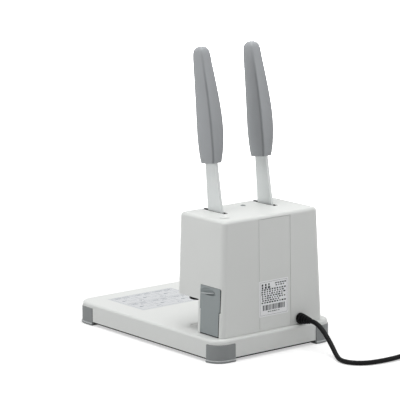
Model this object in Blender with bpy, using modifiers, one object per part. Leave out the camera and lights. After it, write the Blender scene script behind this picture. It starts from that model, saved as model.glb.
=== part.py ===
"""Two-lever desk binding machine: one lever drills the hole, the other rivets a heated tube.

Metres, +Z up, feet on z = 0, origin under the middle of the base.
+X is the side with the chip drawer, -Y is the operator's side, +Y is the cord side.
"""
import bpy
import bmesh
from math import acos, cos, pi, radians, sin, tan
from mathutils import Matrix, Vector

# Clearances shared by every piece
GAP = 0.0003
OVERRUN = 0.004

# Sides of round pieces, large to small
LARGE_SIDES = 40
ROUND_SIDES = 32
ROD_SIDES = 24
SMALL_SIDES = 20
SHAFT_SIDES = 16
SCREW_SIDES = 12

# Base tray
BASE_WIDTH = 0.2200
BASE_DEPTH = 0.3337
BASE_HEIGHT = 0.0274
BASE_WALL = 0.0030
BASE_CORNER = 0.0220
BASE_EDGE = 0.0040
BOTTOM_PLATE = 0.0012
BOSS_RADIUS = 0.0040
BOSS_INSET = 0.0300
SCREW_RADIUS = 0.0015
SCREW_LENGTH = 0.0080

# Corner feet
FOOT_DROP = 0.0060
FOOT_PROUD = 0.0012
FOOT_WALL = 0.0027
FOOT_HEIGHT = 0.0262
FOOT_END_LEG = 0.0340
FOOT_FRONT_LEG = 0.0390
FOOT_REAR_LEG = 0.0222
FOOT_FLANGE = 0.0012
FOOT_FLANGE_HEIGHT = 0.0030
FOOT_TOE = 0.0016

# Moulded housing, a C in side view
HOUSING_HEIGHT = 0.1669
HOUSING_WALL = 0.0030
HOUSING_CORNER = 0.0080
HOUSING_EDGE = 0.0050
HOUSING_BOTTOM_WIDTH = 0.1901
HOUSING_TOP_WIDTH = 0.1755
HOUSING_BOTTOM_FRONT = 0.0557
HOUSING_TOP_FRONT = 0.0545
HOUSING_BOTTOM_REAR = 0.1600
HOUSING_TOP_REAR = 0.1572
THROAT_HEIGHT = 0.0487
COLUMN_FRONT = 0.1056
HEAD_COVER = 0.0027
SEAM = 0.0005
REAR_COVER_LEFT = -0.0338
REAR_COVER_RIGHT = 0.0250

# Levers
PIVOT_BACK = 0.1050
PIVOT_DROP = 0.0583
LEVER_PLANE_INSET = 0.04125
LEVER_THICKNESS = 0.0040
LEVER_LEAN = 7.3
LEVER_SWING = 89.0
LEVER_OFFSET = 0.0102
LEVER_HUB = 0.0140
LEVER_KNEE = 0.0601
LEVER_KNEE_WIDTH = 0.0258
LEVER_NECK_WIDTH = 0.0220
HUB_ARC_START = 165.0
HUB_ARC_END = 375.0
LEVER_TANG = 0.2100
LEVER_TANG_WIDTH = 0.0170
SLOT_WIDTH = 0.0080
SLOT_REAR = 0.1110
SLOT_BELOW_PIVOT = 0.0300
HUB_RADIUS = 0.0095
HUB_INNER_INSET = 0.05055
HUB_OUTER_INSET = 0.02795
AXLE_RADIUS = 0.0060
AXLE_HALF_INSET = 0.02595
CLIP_RADIUS = 0.0085
CLIP_THICKNESS = 0.0010
SPRING_RADIUS = 0.0110
SPRING_WIRE = 0.0006
SPRING_PITCH = 0.0018
SPRING_TURNS = 3.0
SPRING_STEPS = 16
SPRING_LEG = 0.0100
GRIP_START = 0.1295
GRIP_LENGTH = 0.1669
GRIP_CORNER = 0.0036
GRIP_CORNER_SHARE = 0.45
# Along the grip: share of its length, thickness, depth before and behind the bar's middle
GRIP_SECTIONS = (
    (0.000, 0.0170, 0.0150, 0.0140),
    (0.030, 0.0182, 0.0156, 0.0156),
    (0.120, 0.0212, 0.0156, 0.0184),
    (0.250, 0.0238, 0.0146, 0.0202),
    (0.400, 0.0240, 0.0134, 0.0200),
    (0.550, 0.0226, 0.0130, 0.0178),
    (0.700, 0.0206, 0.0132, 0.0146),
    (0.850, 0.0186, 0.0136, 0.0108),
    (0.930, 0.0176, 0.0132, 0.0090),
    (0.970, 0.0156, 0.0116, 0.0072),
    (0.992, 0.0110, 0.0084, 0.0040),
    (1.000, 0.0056, 0.0052, 0.0010),
)

# Sector gears and racks
MODULE = 0.0015
GEAR_TEETH = 42
PRESSURE_ANGLE = 20.0
TOOTH_SHARE = 0.47
DEDENDUM_SHARE = 1.25
GEAR_INNER_INSET = 0.03655
GEAR_WIDTH = 0.0056
FIRST_TOOTH = -1
LAST_TOOTH = 12
RACK_FIRST = -1
RACK_LAST = 10
RACK_BACK = 0.0050

# Inner frame
FRAME_PLANE_INSET = 0.05425
FRAME_THICKNESS = 0.0030
FRAME_FRONT = 0.0620
FRAME_REAR = 0.1520
FRAME_COLUMN = 0.1150
GUIDE_PLATE = 0.0030
GUIDE_FRONT = 0.0600
GUIDE_REAR = 0.1145
GUIDE_HALF_INSET = 0.00275
TOP_PLATE = 0.0025
TOP_PLATE_CLEARANCE = 0.0010
TOP_ARM_INNER_INSET = 0.02925
TOP_ARM_OUTER_INSET = 0.00355
TOP_STRIP_FRONT = 0.1060
TOP_STRIP_REAR = 0.1160
CROSS_INSET = 0.0060
CROSS_HOLE = 0.0120
CROSS_HOLE_SHARE = 0.70

# Stations under the head
STATION_SIDE_INSET = 0.02075
STATION_BACK = 0.0745
ROD_RADIUS = 0.0035
FRONT_ROD_SIDE_INSET = 0.00825
FRONT_ROD_BACK = 0.0660
REAR_ROD_SIDE_INSET = 0.01775
REAR_ROD_BACK = 0.1080
CARRIAGE_BELOW_PIVOT = 0.0035
CARRIAGE_PLATE = 0.0120
CARRIAGE_INNER_INSET = 0.03695
CARRIAGE_OUTER_INSET = 0.00225
CARRIAGE_FRONT = 0.0595
CARRIAGE_STEP_INSET = 0.02925
CARRIAGE_WAIST_INSET = 0.02375
CARRIAGE_WAIST_BACK = 0.0935
CARRIAGE_TAIL_SIDE_INSET = 0.01175
CARRIAGE_TAIL_BACK = 0.1000
FLANGE_OUTER_INSET = 0.03075

# Drill unit
SPINDLE_RADIUS = 0.0050
SPINDLE_BORE = 0.0026
CHUCK_RADIUS = 0.0075
CHUCK_HEIGHT = 0.0120
BEARING_RADIUS = 0.0070
BEARING_RECESS = 0.0008
BIT_RADIUS = 0.0034
BIT_BORE = 0.0024
BIT_TIP_ABOVE_HEAD = 0.0004
BIT_IN_CHUCK = 0.0070
DRILL_HOLE = 0.0082
SPINDLE_TEETH = 24
PINION_TEETH = 16
FINE_MODULE = 0.00075
FINE_GEAR_WIDTH = 0.0046
FINE_GEAR_LIFT = 0.0010
PINION_ANGLE = 20.0
MOTOR_RADIUS = 0.0105
MOTOR_LENGTH = 0.0325
MOTOR_SHAFT = 0.0015
MOTOR_SEAT = 0.0025
MOTOR_PILLAR = 0.0030
MOTOR_PILLAR_INNER_INSET = 0.02325
MOTOR_PILLAR_OUTER_INSET = 0.00475
PILLAR_BACK = 0.1005
DRILL_FOOT_RADIUS = 0.0140
DRILL_FOOT_HEIGHT = 0.0075
DRILL_FOOT_BORE = 0.0046
FOOT_STEM_RADIUS = 0.0016
FOOT_STEM_SPREAD = 0.0120
FOOT_STEM_ANGLE = 118.0
FOOT_STEM_TOP = 0.0090
STEM_CLEARANCE = 0.0004

# Press unit
INSULATOR_RADIUS = 0.0082
INSULATOR_SHARE = 0.142
HEATER_RADIUS = 0.0085
HEATER_SHARE = 0.426
CARTRIDGE_RADIUS = 0.0030
CARTRIDGE_LENGTH = 0.0150
DIE_RADIUS = 0.0060
DIE_TIP_RADIUS = 0.0040
UPPER_DIE_ABOVE_HEAD = 0.0008
STATION_HOLE = 0.0096

# Seats in the base
PAD_RADIUS = 0.0120
PAD_THICKNESS = 0.0060
PAD_RECESS = 0.0003
PAD_CUP_WALL = 0.0025
LOWER_DIE_RADIUS = 0.0070
LOWER_DIE_RISE = 0.0002
LOWER_DIE_DEPTH = 0.0130
LOWER_HEATER_RADIUS = 0.0130
LOWER_HEATER_HEIGHT = 0.0090

# Chip drawer
DRAWER_FRONT = 0.1095
DRAWER_REAR = 0.1540
DRAWER_BOTTOM = 0.0008
DRAWER_HEIGHT = 0.0697
DRAWER_STEP_HEIGHT = 0.0354
DRAWER_STEP = 0.0017
DRAWER_FACE = 0.0080
BIN_INNER_INSET = 0.04825
BIN_INSET = 0.0036
BIN_HEIGHT = 0.0480
DRAWER_WALL = 0.0015
DRAWER_CORNER = 0.0030
SCOOP_DROP = 0.0100
SCOOP_RISE = 0.0080
SCOOP_LIP = 0.0026
SCOOP_DEPTH = 0.0036
SCOOP_INSET = 0.0008
SCOOP_WIDTH = 0.0325
RAIL_FLOOR = 0.0015
RAIL_LIP = 0.0060
RAIL_WALL = 0.0010

# Electrical pieces
BOARD_BACK = 0.1280
BOARD_THICKNESS = 0.0016
BOARD_BELOW_PIVOT = 0.0400
BOARD_HEIGHT = 0.0600
CHIP_SIZE = 0.0080
RELAY_SIZE = 0.0150
TRANSFORMER_INSET = 0.00375
TRANSFORMER_WIDTH = 0.0400
TRANSFORMER_FRONT = 0.1180
TRANSFORMER_REAR = 0.1480
TRANSFORMER_HEIGHT = 0.0360
COIL_PROUD = 0.0040
COIL_SHARE = 0.62
SWITCH_HEIGHT = 0.1000
SWITCH_HALF_WIDTH = 0.0045
SWITCH_HALF_HEIGHT = 0.0075
SWITCH_RIM = 0.0022
SWITCH_PROUD = 0.0018
SWITCH_DEPTH = 0.0140
SWITCH_POCKET = 0.0095
ROCKER_TILT = 8.0
ROCKER_DEPTH = 0.0030
ROCKER_DISH = 0.0009
LAMP_RADIUS = 0.0025
LAMP_FLANGE = 0.0038
LAMP_PROUD = 0.0015
LAMP_DEPTH = 0.0080
LAMP_ABOVE_SWITCH = 0.0220
INDICATOR_SIDE = -0.0102
INDICATOR_BACK = 0.0804
PLUG_BUTTON_SIDE_INSET = 0.02225
PLUG_BUTTON_BACK = 0.1305
PLUG_BUTTON_RADIUS = 0.0072
PLUG_BUTTON_PROUD = 0.0016
BUTTON_FLAT_SHARE = 0.7
BUTTON_CROWN_SHARE = 0.9
BUTTON_RIM_SHARE = 0.3

# Mains cord
CORD_RADIUS = 0.0035
BOOT_SIDE = -0.0505
BOOT_HEIGHT = 0.0418
BOOT_LENGTH = 0.0245
BOOT_ROOT_RADIUS = 0.0080
BOOT_TIP_RADIUS = 0.0048
BOOT_NECK_RADIUS = 0.0050
BOOT_RIBS = 4
BOOT_GROOVE = 0.0012
COIL_CENTRE = (-0.1700, 0.3490)
COIL_MEAN_RADIUS = 0.0385
COIL_PITCH = 0.0076
COIL_TURNS = 5.25
COIL_START_ANGLE = -75.0
COIL_LIFT = 0.0011
COIL_LEAD = 0.0070
COIL_STEPS = 24
COIL_LAYERS = 2
ROUTE_STEPS = 16
COIL_TAIL_RADIUS = 0.0450
COIL_TAIL_TURN = 50.0
COIL_TAIL_STEPS = 10
TIE_BAND = 0.0008
TIE_BAND_WIDTH = 0.0080
TIE_BAND_ANGLE = 160.0
PLUG_BODY = 0.0340
PLUG_WIDTH = 0.0250
PLUG_TAIL_WIDTH = 0.0130
PLUG_THICKNESS = 0.0190
PLUG_TAIL_SHARE = 0.25
PLUG_FULL_SHARE = 0.50
PIN_LENGTH = 0.0180
PIN_WIDTH = 0.0063
PIN_THICKNESS = 0.0015
PIN_SPREAD = 0.0064
# The cord from its boot down to the floor and across it, to where the coil begins
CORD_ROUTE = (
    (-0.0505, 0.1982, 0.0401),
    (-0.0505, 0.2048, 0.0367),
    (-0.0501, 0.2128, 0.0313),
    (-0.0491, 0.2218, 0.0247),
    (-0.0470, 0.2317, 0.0176),
    (-0.0440, 0.2412, 0.0115),
    (-0.0400, 0.2512, 0.0066),
    (-0.0360, 0.2612, 0.0042),
    (-0.0332, 0.2720, 0.0036),
    (-0.0355, 0.2842, 0.0036),
    (-0.0435, 0.2945, 0.0036),
    (-0.0550, 0.3010, 0.0036),
    (-0.0670, 0.3044, 0.0037),
    (-0.0780, 0.3063, 0.0039),
    (-0.0900, 0.3074, 0.0041),
    (-0.1030, 0.3075, 0.0043),
    (-0.1160, 0.3065, 0.0045),
)

# Heights worked out from the sizes above
base_bottom = FOOT_DROP
base_top = base_bottom + BASE_HEIGHT
head_bottom = base_top + THROAT_HEIGHT
housing_bottom = base_top + GAP
housing_top = base_top + HOUSING_HEIGHT
ceiling = housing_top - HOUSING_WALL
guide_bottom = head_bottom + HEAD_COVER + GAP
guide_top = guide_bottom + GUIDE_PLATE
top_plate_top = ceiling - TOP_PLATE_CLEARANCE
top_plate_bottom = top_plate_top - TOP_PLATE
frame_top = top_plate_bottom - GAP
frame_bottom = guide_top + GAP
pivot_height = housing_top - PIVOT_DROP
slot_bottom = pivot_height - SLOT_BELOW_PIVOT
carriage_bottom = pivot_height - CARRIAGE_BELOW_PIVOT
carriage_top = carriage_bottom + CARRIAGE_PLATE
board_low = pivot_height - BOARD_BELOW_PIVOT
board_high = board_low + BOARD_HEIGHT
insulator_height = INSULATOR_SHARE * (carriage_bottom - head_bottom)
heater_height = HEATER_SHARE * (carriage_bottom - head_bottom)
half_depth = BASE_DEPTH / 2

# Places across the machine, set in from the housing's side where it is narrowest
half_narrow = min(HOUSING_TOP_WIDTH, HOUSING_BOTTOM_WIDTH) / 2
lever_plane = half_narrow - LEVER_PLANE_INSET
hub_inner = half_narrow - HUB_INNER_INSET
hub_outer = half_narrow - HUB_OUTER_INSET
axle_half = half_narrow - AXLE_HALF_INSET
gear_inner = half_narrow - GEAR_INNER_INSET
frame_plane = half_narrow - FRAME_PLANE_INSET
guide_half = half_narrow - GUIDE_HALF_INSET
top_arm_inner = half_narrow - TOP_ARM_INNER_INSET
top_arm_outer = half_narrow - TOP_ARM_OUTER_INSET
station_side = half_narrow - STATION_SIDE_INSET
front_rod_side = half_narrow - FRONT_ROD_SIDE_INSET
rear_rod_side = half_narrow - REAR_ROD_SIDE_INSET
carriage_inner = half_narrow - CARRIAGE_INNER_INSET
carriage_outer = half_narrow - CARRIAGE_OUTER_INSET
carriage_step = half_narrow - CARRIAGE_STEP_INSET
carriage_waist = half_narrow - CARRIAGE_WAIST_INSET
carriage_tail_side = half_narrow - CARRIAGE_TAIL_SIDE_INSET
flange_outer = half_narrow - FLANGE_OUTER_INSET
motor_pillar_inner = half_narrow - MOTOR_PILLAR_INNER_INSET
motor_pillar_outer = half_narrow - MOTOR_PILLAR_OUTER_INSET
bin_inner = half_narrow - BIN_INNER_INSET
plug_button_side = half_narrow - PLUG_BUTTON_SIDE_INSET
transformer_left = TRANSFORMER_INSET - half_narrow
transformer_right = transformer_left + TRANSFORMER_WIDTH

# Gear sizes
pitch_radius = MODULE * GEAR_TEETH / 2
tooth_pitch = pi * MODULE
dedendum = DEDENDUM_SHARE * MODULE
rack_line = PIVOT_BACK - pitch_radius
stroke = pitch_radius * radians(LEVER_SWING)

# Collections and colours
for leftover in list(bpy.data.objects):
    bpy.data.objects.remove(leftover, do_unlink=True)

parts = bpy.data.collections.new("binding_machine")
cutters = bpy.data.collections.new("cutters")
bpy.context.scene.collection.children.link(parts)
bpy.context.scene.collection.children.link(cutters)


def make_material(name, colour, roughness, metallic=0.0):
    """A Principled material with one colour, roughness and metallic value."""
    made = bpy.data.materials.new(name)
    made.use_nodes = True
    shader = made.node_tree.nodes["Principled BSDF"]
    shader.inputs["Base Color"].default_value = (*colour, 1.0)
    shader.inputs["Roughness"].default_value = roughness
    shader.inputs["Metallic"].default_value = metallic
    made.diffuse_color = (*colour, 1.0)
    return made


white_plastic = make_material("white_plastic", (0.80, 0.81, 0.80), 0.45)
grey_rubber = make_material("grey_rubber", (0.28, 0.29, 0.30), 0.70)
grey_plastic = make_material("grey_plastic", (0.24, 0.27, 0.27), 0.50)
painted_steel = make_material("painted_steel", (0.55, 0.58, 0.57), 0.45)
zinc_steel = make_material("zinc_steel", (0.60, 0.61, 0.62), 0.35, 1.0)
dark_steel = make_material("dark_steel", (0.10, 0.10, 0.11), 0.50, 0.6)
bright_steel = make_material("bright_steel", (0.70, 0.70, 0.71), 0.22, 1.0)
cast_aluminium = make_material("cast_aluminium", (0.62, 0.63, 0.64), 0.50, 1.0)
brass = make_material("brass", (0.72, 0.52, 0.22), 0.30, 1.0)
black_plastic = make_material("black_plastic", (0.02, 0.02, 0.02), 0.45)
nylon = make_material("nylon", (0.85, 0.84, 0.78), 0.50)
circuit_green = make_material("circuit_green", (0.04, 0.22, 0.10), 0.50)
red_lens = make_material("red_lens", (0.60, 0.05, 0.03), 0.20)


def add_object(name, mesh, finish, home=None):
    """Links a mesh as a part, or as a cutter when it has no finish."""
    made = bpy.data.objects.new(name, mesh)
    (home or parts).objects.link(made)
    if finish:
        mesh.materials.append(finish)
    return made


def hide_cutter(made):
    made.hide_render = True
    made.display_type = "WIRE"
    return made


def finish_mesh(shape, name):
    """Closes a bmesh into a mesh whose faces point out."""
    bmesh.ops.recalc_face_normals(shape, faces=shape.faces)
    mesh = bpy.data.meshes.new(name)
    shape.to_mesh(mesh)
    shape.free()
    return mesh


def box_mesh(name, low, high):
    shape = bmesh.new()
    size = [b - a for a, b in zip(low, high)]
    middle = [(a + b) / 2 for a, b in zip(low, high)]
    bmesh.ops.create_cube(shape, size=1.0, matrix=Matrix.LocRotScale(middle, None, size))
    return finish_mesh(shape, name)


def cylinder_mesh(name, radius, start, end, sides=ROUND_SIDES):
    """A round bar from one point to another along X, Y or Z."""
    shape = bmesh.new()
    run = Vector(end) - Vector(start)
    turn = run.to_track_quat("Z", "Y").to_matrix().to_4x4()
    middle = Matrix.Translation((Vector(start) + Vector(end)) / 2)
    bmesh.ops.create_cone(
        shape, cap_ends=True, segments=sides, radius1=radius, radius2=radius,
        depth=run.length, matrix=middle @ turn,
    )
    mesh = finish_mesh(shape, name)
    mesh.shade_smooth()
    mesh.set_sharp_from_angle(angle=radians(30.0))
    return mesh


def prism_mesh(name, outline, axis, start, end):
    """An outline drawn in the plane across axis, pulled from start to end along it."""
    shape = bmesh.new()
    order = {"X": lambda a, b: (start, a, b), "Y": lambda a, b: (a, start, b),
             "Z": lambda a, b: (a, b, start)}[axis]
    face = shape.faces.new([shape.verts.new(order(a, b)) for a, b in outline])
    pulled = bmesh.ops.extrude_face_region(shape, geom=[face])
    moved = [v for v in pulled["geom"] if isinstance(v, bmesh.types.BMVert)]
    shift = {"X": (end - start, 0, 0), "Y": (0, end - start, 0), "Z": (0, 0, end - start)}[axis]
    bmesh.ops.translate(shape, verts=moved, vec=shift)
    return finish_mesh(shape, name)


def loft_mesh(name, rings):
    """Skins closed rings of equal point count and caps both ends."""
    shape = bmesh.new()
    loops = [[shape.verts.new(point) for point in ring] for ring in rings]
    for lower, upper in zip(loops, loops[1:]):
        for i in range(len(lower)):
            j = (i + 1) % len(lower)
            shape.faces.new((lower[i], lower[j], upper[j], upper[i]))
    shape.faces.new(loops[0])
    shape.faces.new(loops[-1])
    return finish_mesh(shape, name)


def box(name, low, high, finish):
    return add_object(name, box_mesh(name, low, high), finish)


def rod(name, radius, start, end, finish, sides=ROUND_SIDES):
    return add_object(name, cylinder_mesh(name, radius, start, end, sides), finish)


def prism(name, outline, axis, start, end, finish):
    return add_object(name, prism_mesh(name, outline, axis, start, end), finish)


def combine(made, other, operation):
    """Adds a Boolean with another object, which becomes a hidden guide."""
    for home in list(other.users_collection):
        home.objects.unlink(other)
    cutters.objects.link(other)
    hide_cutter(other)
    boolean = made.modifiers.new(operation.lower(), "BOOLEAN")
    boolean.operation = operation
    boolean.solver = "EXACT"
    boolean.object = other
    return made


def cut_box(made, low, high):
    return combine(made, add_object("cut", box_mesh("cut", low, high), None), "DIFFERENCE")


def cut_rod(made, radius, start, end, sides=ROUND_SIDES):
    mesh = cylinder_mesh("cut", radius, start, end, sides)
    return combine(made, add_object("cut", mesh, None), "DIFFERENCE")


def cut_prism(made, outline, axis, start, end):
    mesh = prism_mesh("cut", outline, axis, start, end)
    return combine(made, add_object("cut", mesh, None), "DIFFERENCE")


def fuse_box(made, low, high):
    return combine(made, add_object("fuse", box_mesh("fuse", low, high), None), "UNION")


def fuse_rod(made, radius, start, end, sides=ROUND_SIDES):
    mesh = cylinder_mesh("fuse", radius, start, end, sides)
    return combine(made, add_object("fuse", mesh, None), "UNION")


def turned(name, profile, centre, finish, axis="Z", steps=ROUND_SIDES):
    """A profile of (radius, height) points, top to bottom, turned about an axis at centre."""
    mesh = bpy.data.meshes.new(name)
    mesh.from_pydata([(r, 0, h) for r, h in profile], [(i, i + 1) for i in range(len(profile) - 1)], [])
    made = add_object(name, mesh, finish)
    made.location = centre
    if axis != "Z":
        made.rotation_euler = (-pi / 2 if axis == "Y" else pi / 2, 0, 0)
    screw = made.modifiers.new("turned", "SCREW")
    screw.steps = steps
    screw.render_steps = steps
    screw.use_merge_vertices = True
    screw.merge_threshold = 0.00001
    return made


def arc(centre, radius, first, last, steps):
    """Points on an arc, angles in degrees from the first coordinate's direction."""
    turn = [radians(first + (last - first) * i / steps) for i in range(steps + 1)]
    return [(centre[0] + radius * cos(a), centre[1] + radius * sin(a)) for a in turn]


def rounded_rectangle(left, right, front, rear, radius, steps=6):
    """An outline with four equal round corners, from the rear right one."""
    corners = (
        ((right - radius, rear - radius), 0),
        ((left + radius, rear - radius), 90),
        ((left + radius, front + radius), 180),
        ((right - radius, front + radius), 270),
    )
    return [point for centre, angle in corners for point in arc(centre, radius, angle, angle + 90, steps)]


def mirrored(side, points):
    return [(side * x, y) for x, y in points]


def joint_axis(name, place):
    """An empty on a joint's axis, which carries the pieces that move on it."""
    made = bpy.data.objects.new(name, None)
    parts.objects.link(made)
    made.location = place
    made.empty_display_size = LEVER_HUB
    return made


def carry(axis, *pieces):
    for piece in pieces:
        piece.parent = axis
        piece.matrix_parent_inverse = Matrix.Translation(axis.location).inverted()


# Base
def base_outline(inset):
    return rounded_rectangle(
        -BASE_WIDTH / 2 + inset, BASE_WIDTH / 2 - inset,
        -half_depth + inset, half_depth - inset, BASE_CORNER - inset,
    )


def at_height(outline, z):
    return [(x, y, z) for x, y in outline]


def boss_places():
    side = BASE_WIDTH / 2 - BOSS_INSET
    back = half_depth - BOSS_INSET
    return [(x, y) for x in (-side, side) for y in (-back, 0, back)]


def make_base():
    edge_steps = 4
    rings = [
        at_height(base_outline(BASE_WALL), base_top - BASE_WALL),
        at_height(base_outline(BASE_WALL), base_bottom),
        at_height(base_outline(0), base_bottom),
    ]
    for i in range(edge_steps + 1):
        a = pi / 2 * i / edge_steps
        rings.append(at_height(base_outline(BASE_EDGE * (1 - cos(a))), base_top - BASE_EDGE * (1 - sin(a))))
    base = add_object("base_shell", loft_mesh("base_shell", rings), white_plastic)
    under = base_top - BASE_WALL / 2
    for x, y in boss_places():
        fuse_rod(base, BOSS_RADIUS, (x, y, base_bottom), (x, y, under), SHAFT_SIDES)
        cut_rod(base, SCREW_RADIUS + GAP, (x, y, 0), (x, y, base_bottom + SCREW_LENGTH), SCREW_SIDES)
    pad_floor = base_top - PAD_RECESS - PAD_THICKNESS - GAP
    pad_hole = PAD_RADIUS + GAP
    cup = pad_hole + PAD_CUP_WALL
    x, y = station_side, STATION_BACK
    fuse_rod(base, cup, (x, y, pad_floor - PAD_CUP_WALL), (x, y, under), LARGE_SIDES)
    cut_rod(base, pad_hole, (x, y, pad_floor), (x, y, base_top + OVERRUN), LARGE_SIDES)
    cut_rod(base, LOWER_DIE_RADIUS + GAP, (-x, y, under - BASE_WALL), (-x, y, base_top + OVERRUN))
    for leg, x_side, y_side in foot_corners():
        combine(base, foot_pocket(leg, x_side, y_side), "DIFFERENCE")
    return base


def foot_corners():
    return (
        (FOOT_FRONT_LEG, -1, -1), (FOOT_FRONT_LEG, 1, -1),
        (FOOT_REAR_LEG, -1, 1), (FOOT_REAR_LEG, 1, 1),
    )


def corner_block(name, leg, x_side, y_side, margin, low, high):
    """A block over one corner of the base, as long as a foot's two legs."""
    out = FOOT_PROUD + FOOT_FLANGE + OVERRUN
    xs = sorted((x_side * (BASE_WIDTH / 2 + out), x_side * (BASE_WIDTH / 2 - FOOT_END_LEG - margin)))
    ys = sorted((y_side * (half_depth + out), y_side * (half_depth - leg - margin)))
    return add_object(name, box_mesh(name, (xs[0], ys[0], low), (xs[1], ys[1], high)), None)


def foot_pocket(leg, x_side, y_side):
    """What the base loses to a foot's wall: the corner block without its own inner part."""
    block = corner_block("foot_pocket", leg, x_side, y_side, GAP, 0, FOOT_HEIGHT + GAP)
    kept = FOOT_WALL - FOOT_PROUD + GAP
    core = loft_mesh("foot_core", [at_height(base_outline(kept), z) for z in (-OVERRUN, base_top)])
    return combine(block, add_object("foot_core", core, None), "DIFFERENCE")


def make_foot(name, leg, x_side, y_side):
    outer = -FOOT_PROUD
    flange = outer - FOOT_FLANGE
    rings = [
        at_height(base_outline(flange + FOOT_TOE), 0),
        at_height(base_outline(flange + FOOT_TOE / 4), FOOT_TOE / 2),
        at_height(base_outline(flange), FOOT_TOE),
        at_height(base_outline(flange), FOOT_FLANGE_HEIGHT),
        at_height(base_outline(outer), FOOT_FLANGE_HEIGHT + FOOT_FLANGE),
        at_height(base_outline(outer), FOOT_HEIGHT - FOOT_PROUD),
        at_height(base_outline(outer + FOOT_PROUD / 2), FOOT_HEIGHT),
    ]
    foot = add_object(name, loft_mesh(name, rings), grey_rubber)
    inner = base_outline(FOOT_WALL - FOOT_PROUD)
    pad_top = base_bottom - GAP - BOTTOM_PLATE - GAP
    core = loft_mesh("foot_core", [at_height(inner, z) for z in (pad_top, base_top + OVERRUN)])
    combine(foot, add_object("foot_core", core, None), "DIFFERENCE")
    combine(foot, corner_block("foot_corner", leg, x_side, y_side, 0, -OVERRUN, base_top), "INTERSECT")
    return foot


def make_bottom_plate():
    outline = base_outline(FOOT_WALL - FOOT_PROUD + GAP)
    top = base_bottom - GAP
    plate = prism("base_bottom_plate", outline, "Z", top - BOTTOM_PLATE, top, dark_steel)
    for x, y in boss_places():
        cut_rod(plate, SCREW_RADIUS + GAP, (x, y, 0), (x, y, base_bottom), SCREW_SIDES)
    return plate


# Housing
def housing_sizes(z, inset):
    """Half width, front and rear of the tapered housing at a height, drawn in by inset."""
    t = (z - base_top) / HOUSING_HEIGHT
    half = (HOUSING_BOTTOM_WIDTH + (HOUSING_TOP_WIDTH - HOUSING_BOTTOM_WIDTH) * t) / 2 - inset
    front = HOUSING_BOTTOM_FRONT + (HOUSING_TOP_FRONT - HOUSING_BOTTOM_FRONT) * t + inset
    rear = HOUSING_BOTTOM_REAR + (HOUSING_TOP_REAR - HOUSING_BOTTOM_REAR) * t - inset
    return half, front, rear


def housing_ring(z, inset):
    half, front, rear = housing_sizes(z, inset)
    radius = HOUSING_CORNER - min(inset, HOUSING_WALL)
    return at_height(rounded_rectangle(-half, half, front, rear, radius), z)


def housing_block():
    """The solid outside of the housing, with its rounded top edge."""
    edge_steps = 5
    rings = [housing_ring(housing_bottom, 0)]
    for i in range(edge_steps + 1):
        a = pi / 2 * i / edge_steps
        inset = HOUSING_EDGE * (1 - cos(a))
        half, front, rear = housing_sizes(housing_top, inset)
        outline = rounded_rectangle(-half, half, front, rear, HOUSING_CORNER - inset / 2)
        rings.append(at_height(outline, housing_top - HOUSING_EDGE * (1 - sin(a))))
    return loft_mesh("housing_block", rings)


def side_limits(inset=0):
    half, front, rear = housing_sizes(base_top, inset)
    return half + OVERRUN, front - OVERRUN, rear + OVERRUN


def make_housing():
    wide, near, far = side_limits()
    housing = add_object("housing_shell", housing_block(), white_plastic)
    cut_box(housing, (-wide, near, 0), (wide, COLUMN_FRONT, head_bottom))
    hollow_rings = [housing_ring(z, HOUSING_WALL) for z in (base_bottom, ceiling - HOUSING_WALL / 2)]
    hollow_rings.append(housing_ring(ceiling, HOUSING_WALL * 3 / 2))
    hollow = add_object("hollow", loft_mesh("hollow", hollow_rings), None)
    cut_box(hollow, (-wide, near, 0), (wide, COLUMN_FRONT + HOUSING_WALL, head_bottom + HOUSING_WALL))
    combine(housing, hollow, "DIFFERENCE")
    half, front, _ = housing_sizes(head_bottom, HOUSING_WALL)
    floor = rounded_rectangle(-half, half, front, COLUMN_FRONT - GAP, HOUSING_CORNER - HOUSING_WALL)
    cut_prism(housing, floor, "Z", head_bottom - OVERRUN, head_bottom + OVERRUN)
    for side in (-1, 1):
        middle = side * lever_plane
        low = (middle - SLOT_WIDTH / 2, near, slot_bottom)
        cut_box(housing, low, (middle + SLOT_WIDTH / 2, SLOT_REAR, housing_top + OVERRUN))
    rear_top = housing_sizes(housing_top, 0)[2] - HOUSING_WALL - OVERRUN
    cut_box(housing, (REAR_COVER_LEFT, rear_top, 0), (REAR_COVER_RIGHT, far, rear_cover_top() + SEAM))
    combine(housing, drawer_face_solid("drawer_opening", SEAM, OVERRUN), "DIFFERENCE")
    cut_rod(housing, BOOT_NECK_RADIUS + GAP, boot_point(-OVERRUN - HOUSING_WALL), boot_point(OVERRUN))
    switch_low, switch_high = switch_box(SWITCH_RIM + GAP, OVERRUN)
    cut_box(housing, switch_low, switch_high)
    lamp_height = SWITCH_HEIGHT + LAMP_ABOVE_SWITCH
    cut_rod(housing, LAMP_RADIUS + GAP, (0, near, lamp_height), (0, FRAME_FRONT, lamp_height), SMALL_SIDES)
    for x, y in ((INDICATOR_SIDE, INDICATOR_BACK), (plug_button_side, PLUG_BUTTON_BACK)):
        low, high = (x, y, ceiling - OVERRUN), (x, y, housing_top + OVERRUN)
        cut_rod(housing, LAMP_RADIUS + GAP, low, high, SMALL_SIDES)
    return housing


def rear_cover_top():
    return housing_top - HOUSING_EDGE


def make_rear_cover():
    """The panel between the two rear seams, cut from the housing's own outside."""
    cover = add_object("rear_cover", housing_block(), white_plastic)
    skin = add_object("skin", loft_mesh("skin", [
        housing_ring(z, HOUSING_WALL) for z in (0, housing_top + OVERRUN)
    ]), None)
    combine(cover, skin, "DIFFERENCE")
    _, near, far = side_limits()
    low = (REAR_COVER_LEFT + SEAM, FRAME_REAR, 0)
    high = (REAR_COVER_RIGHT - SEAM, far, rear_cover_top())
    return combine(cover, add_object("span", box_mesh("span", low, high), None), "INTERSECT")


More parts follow.
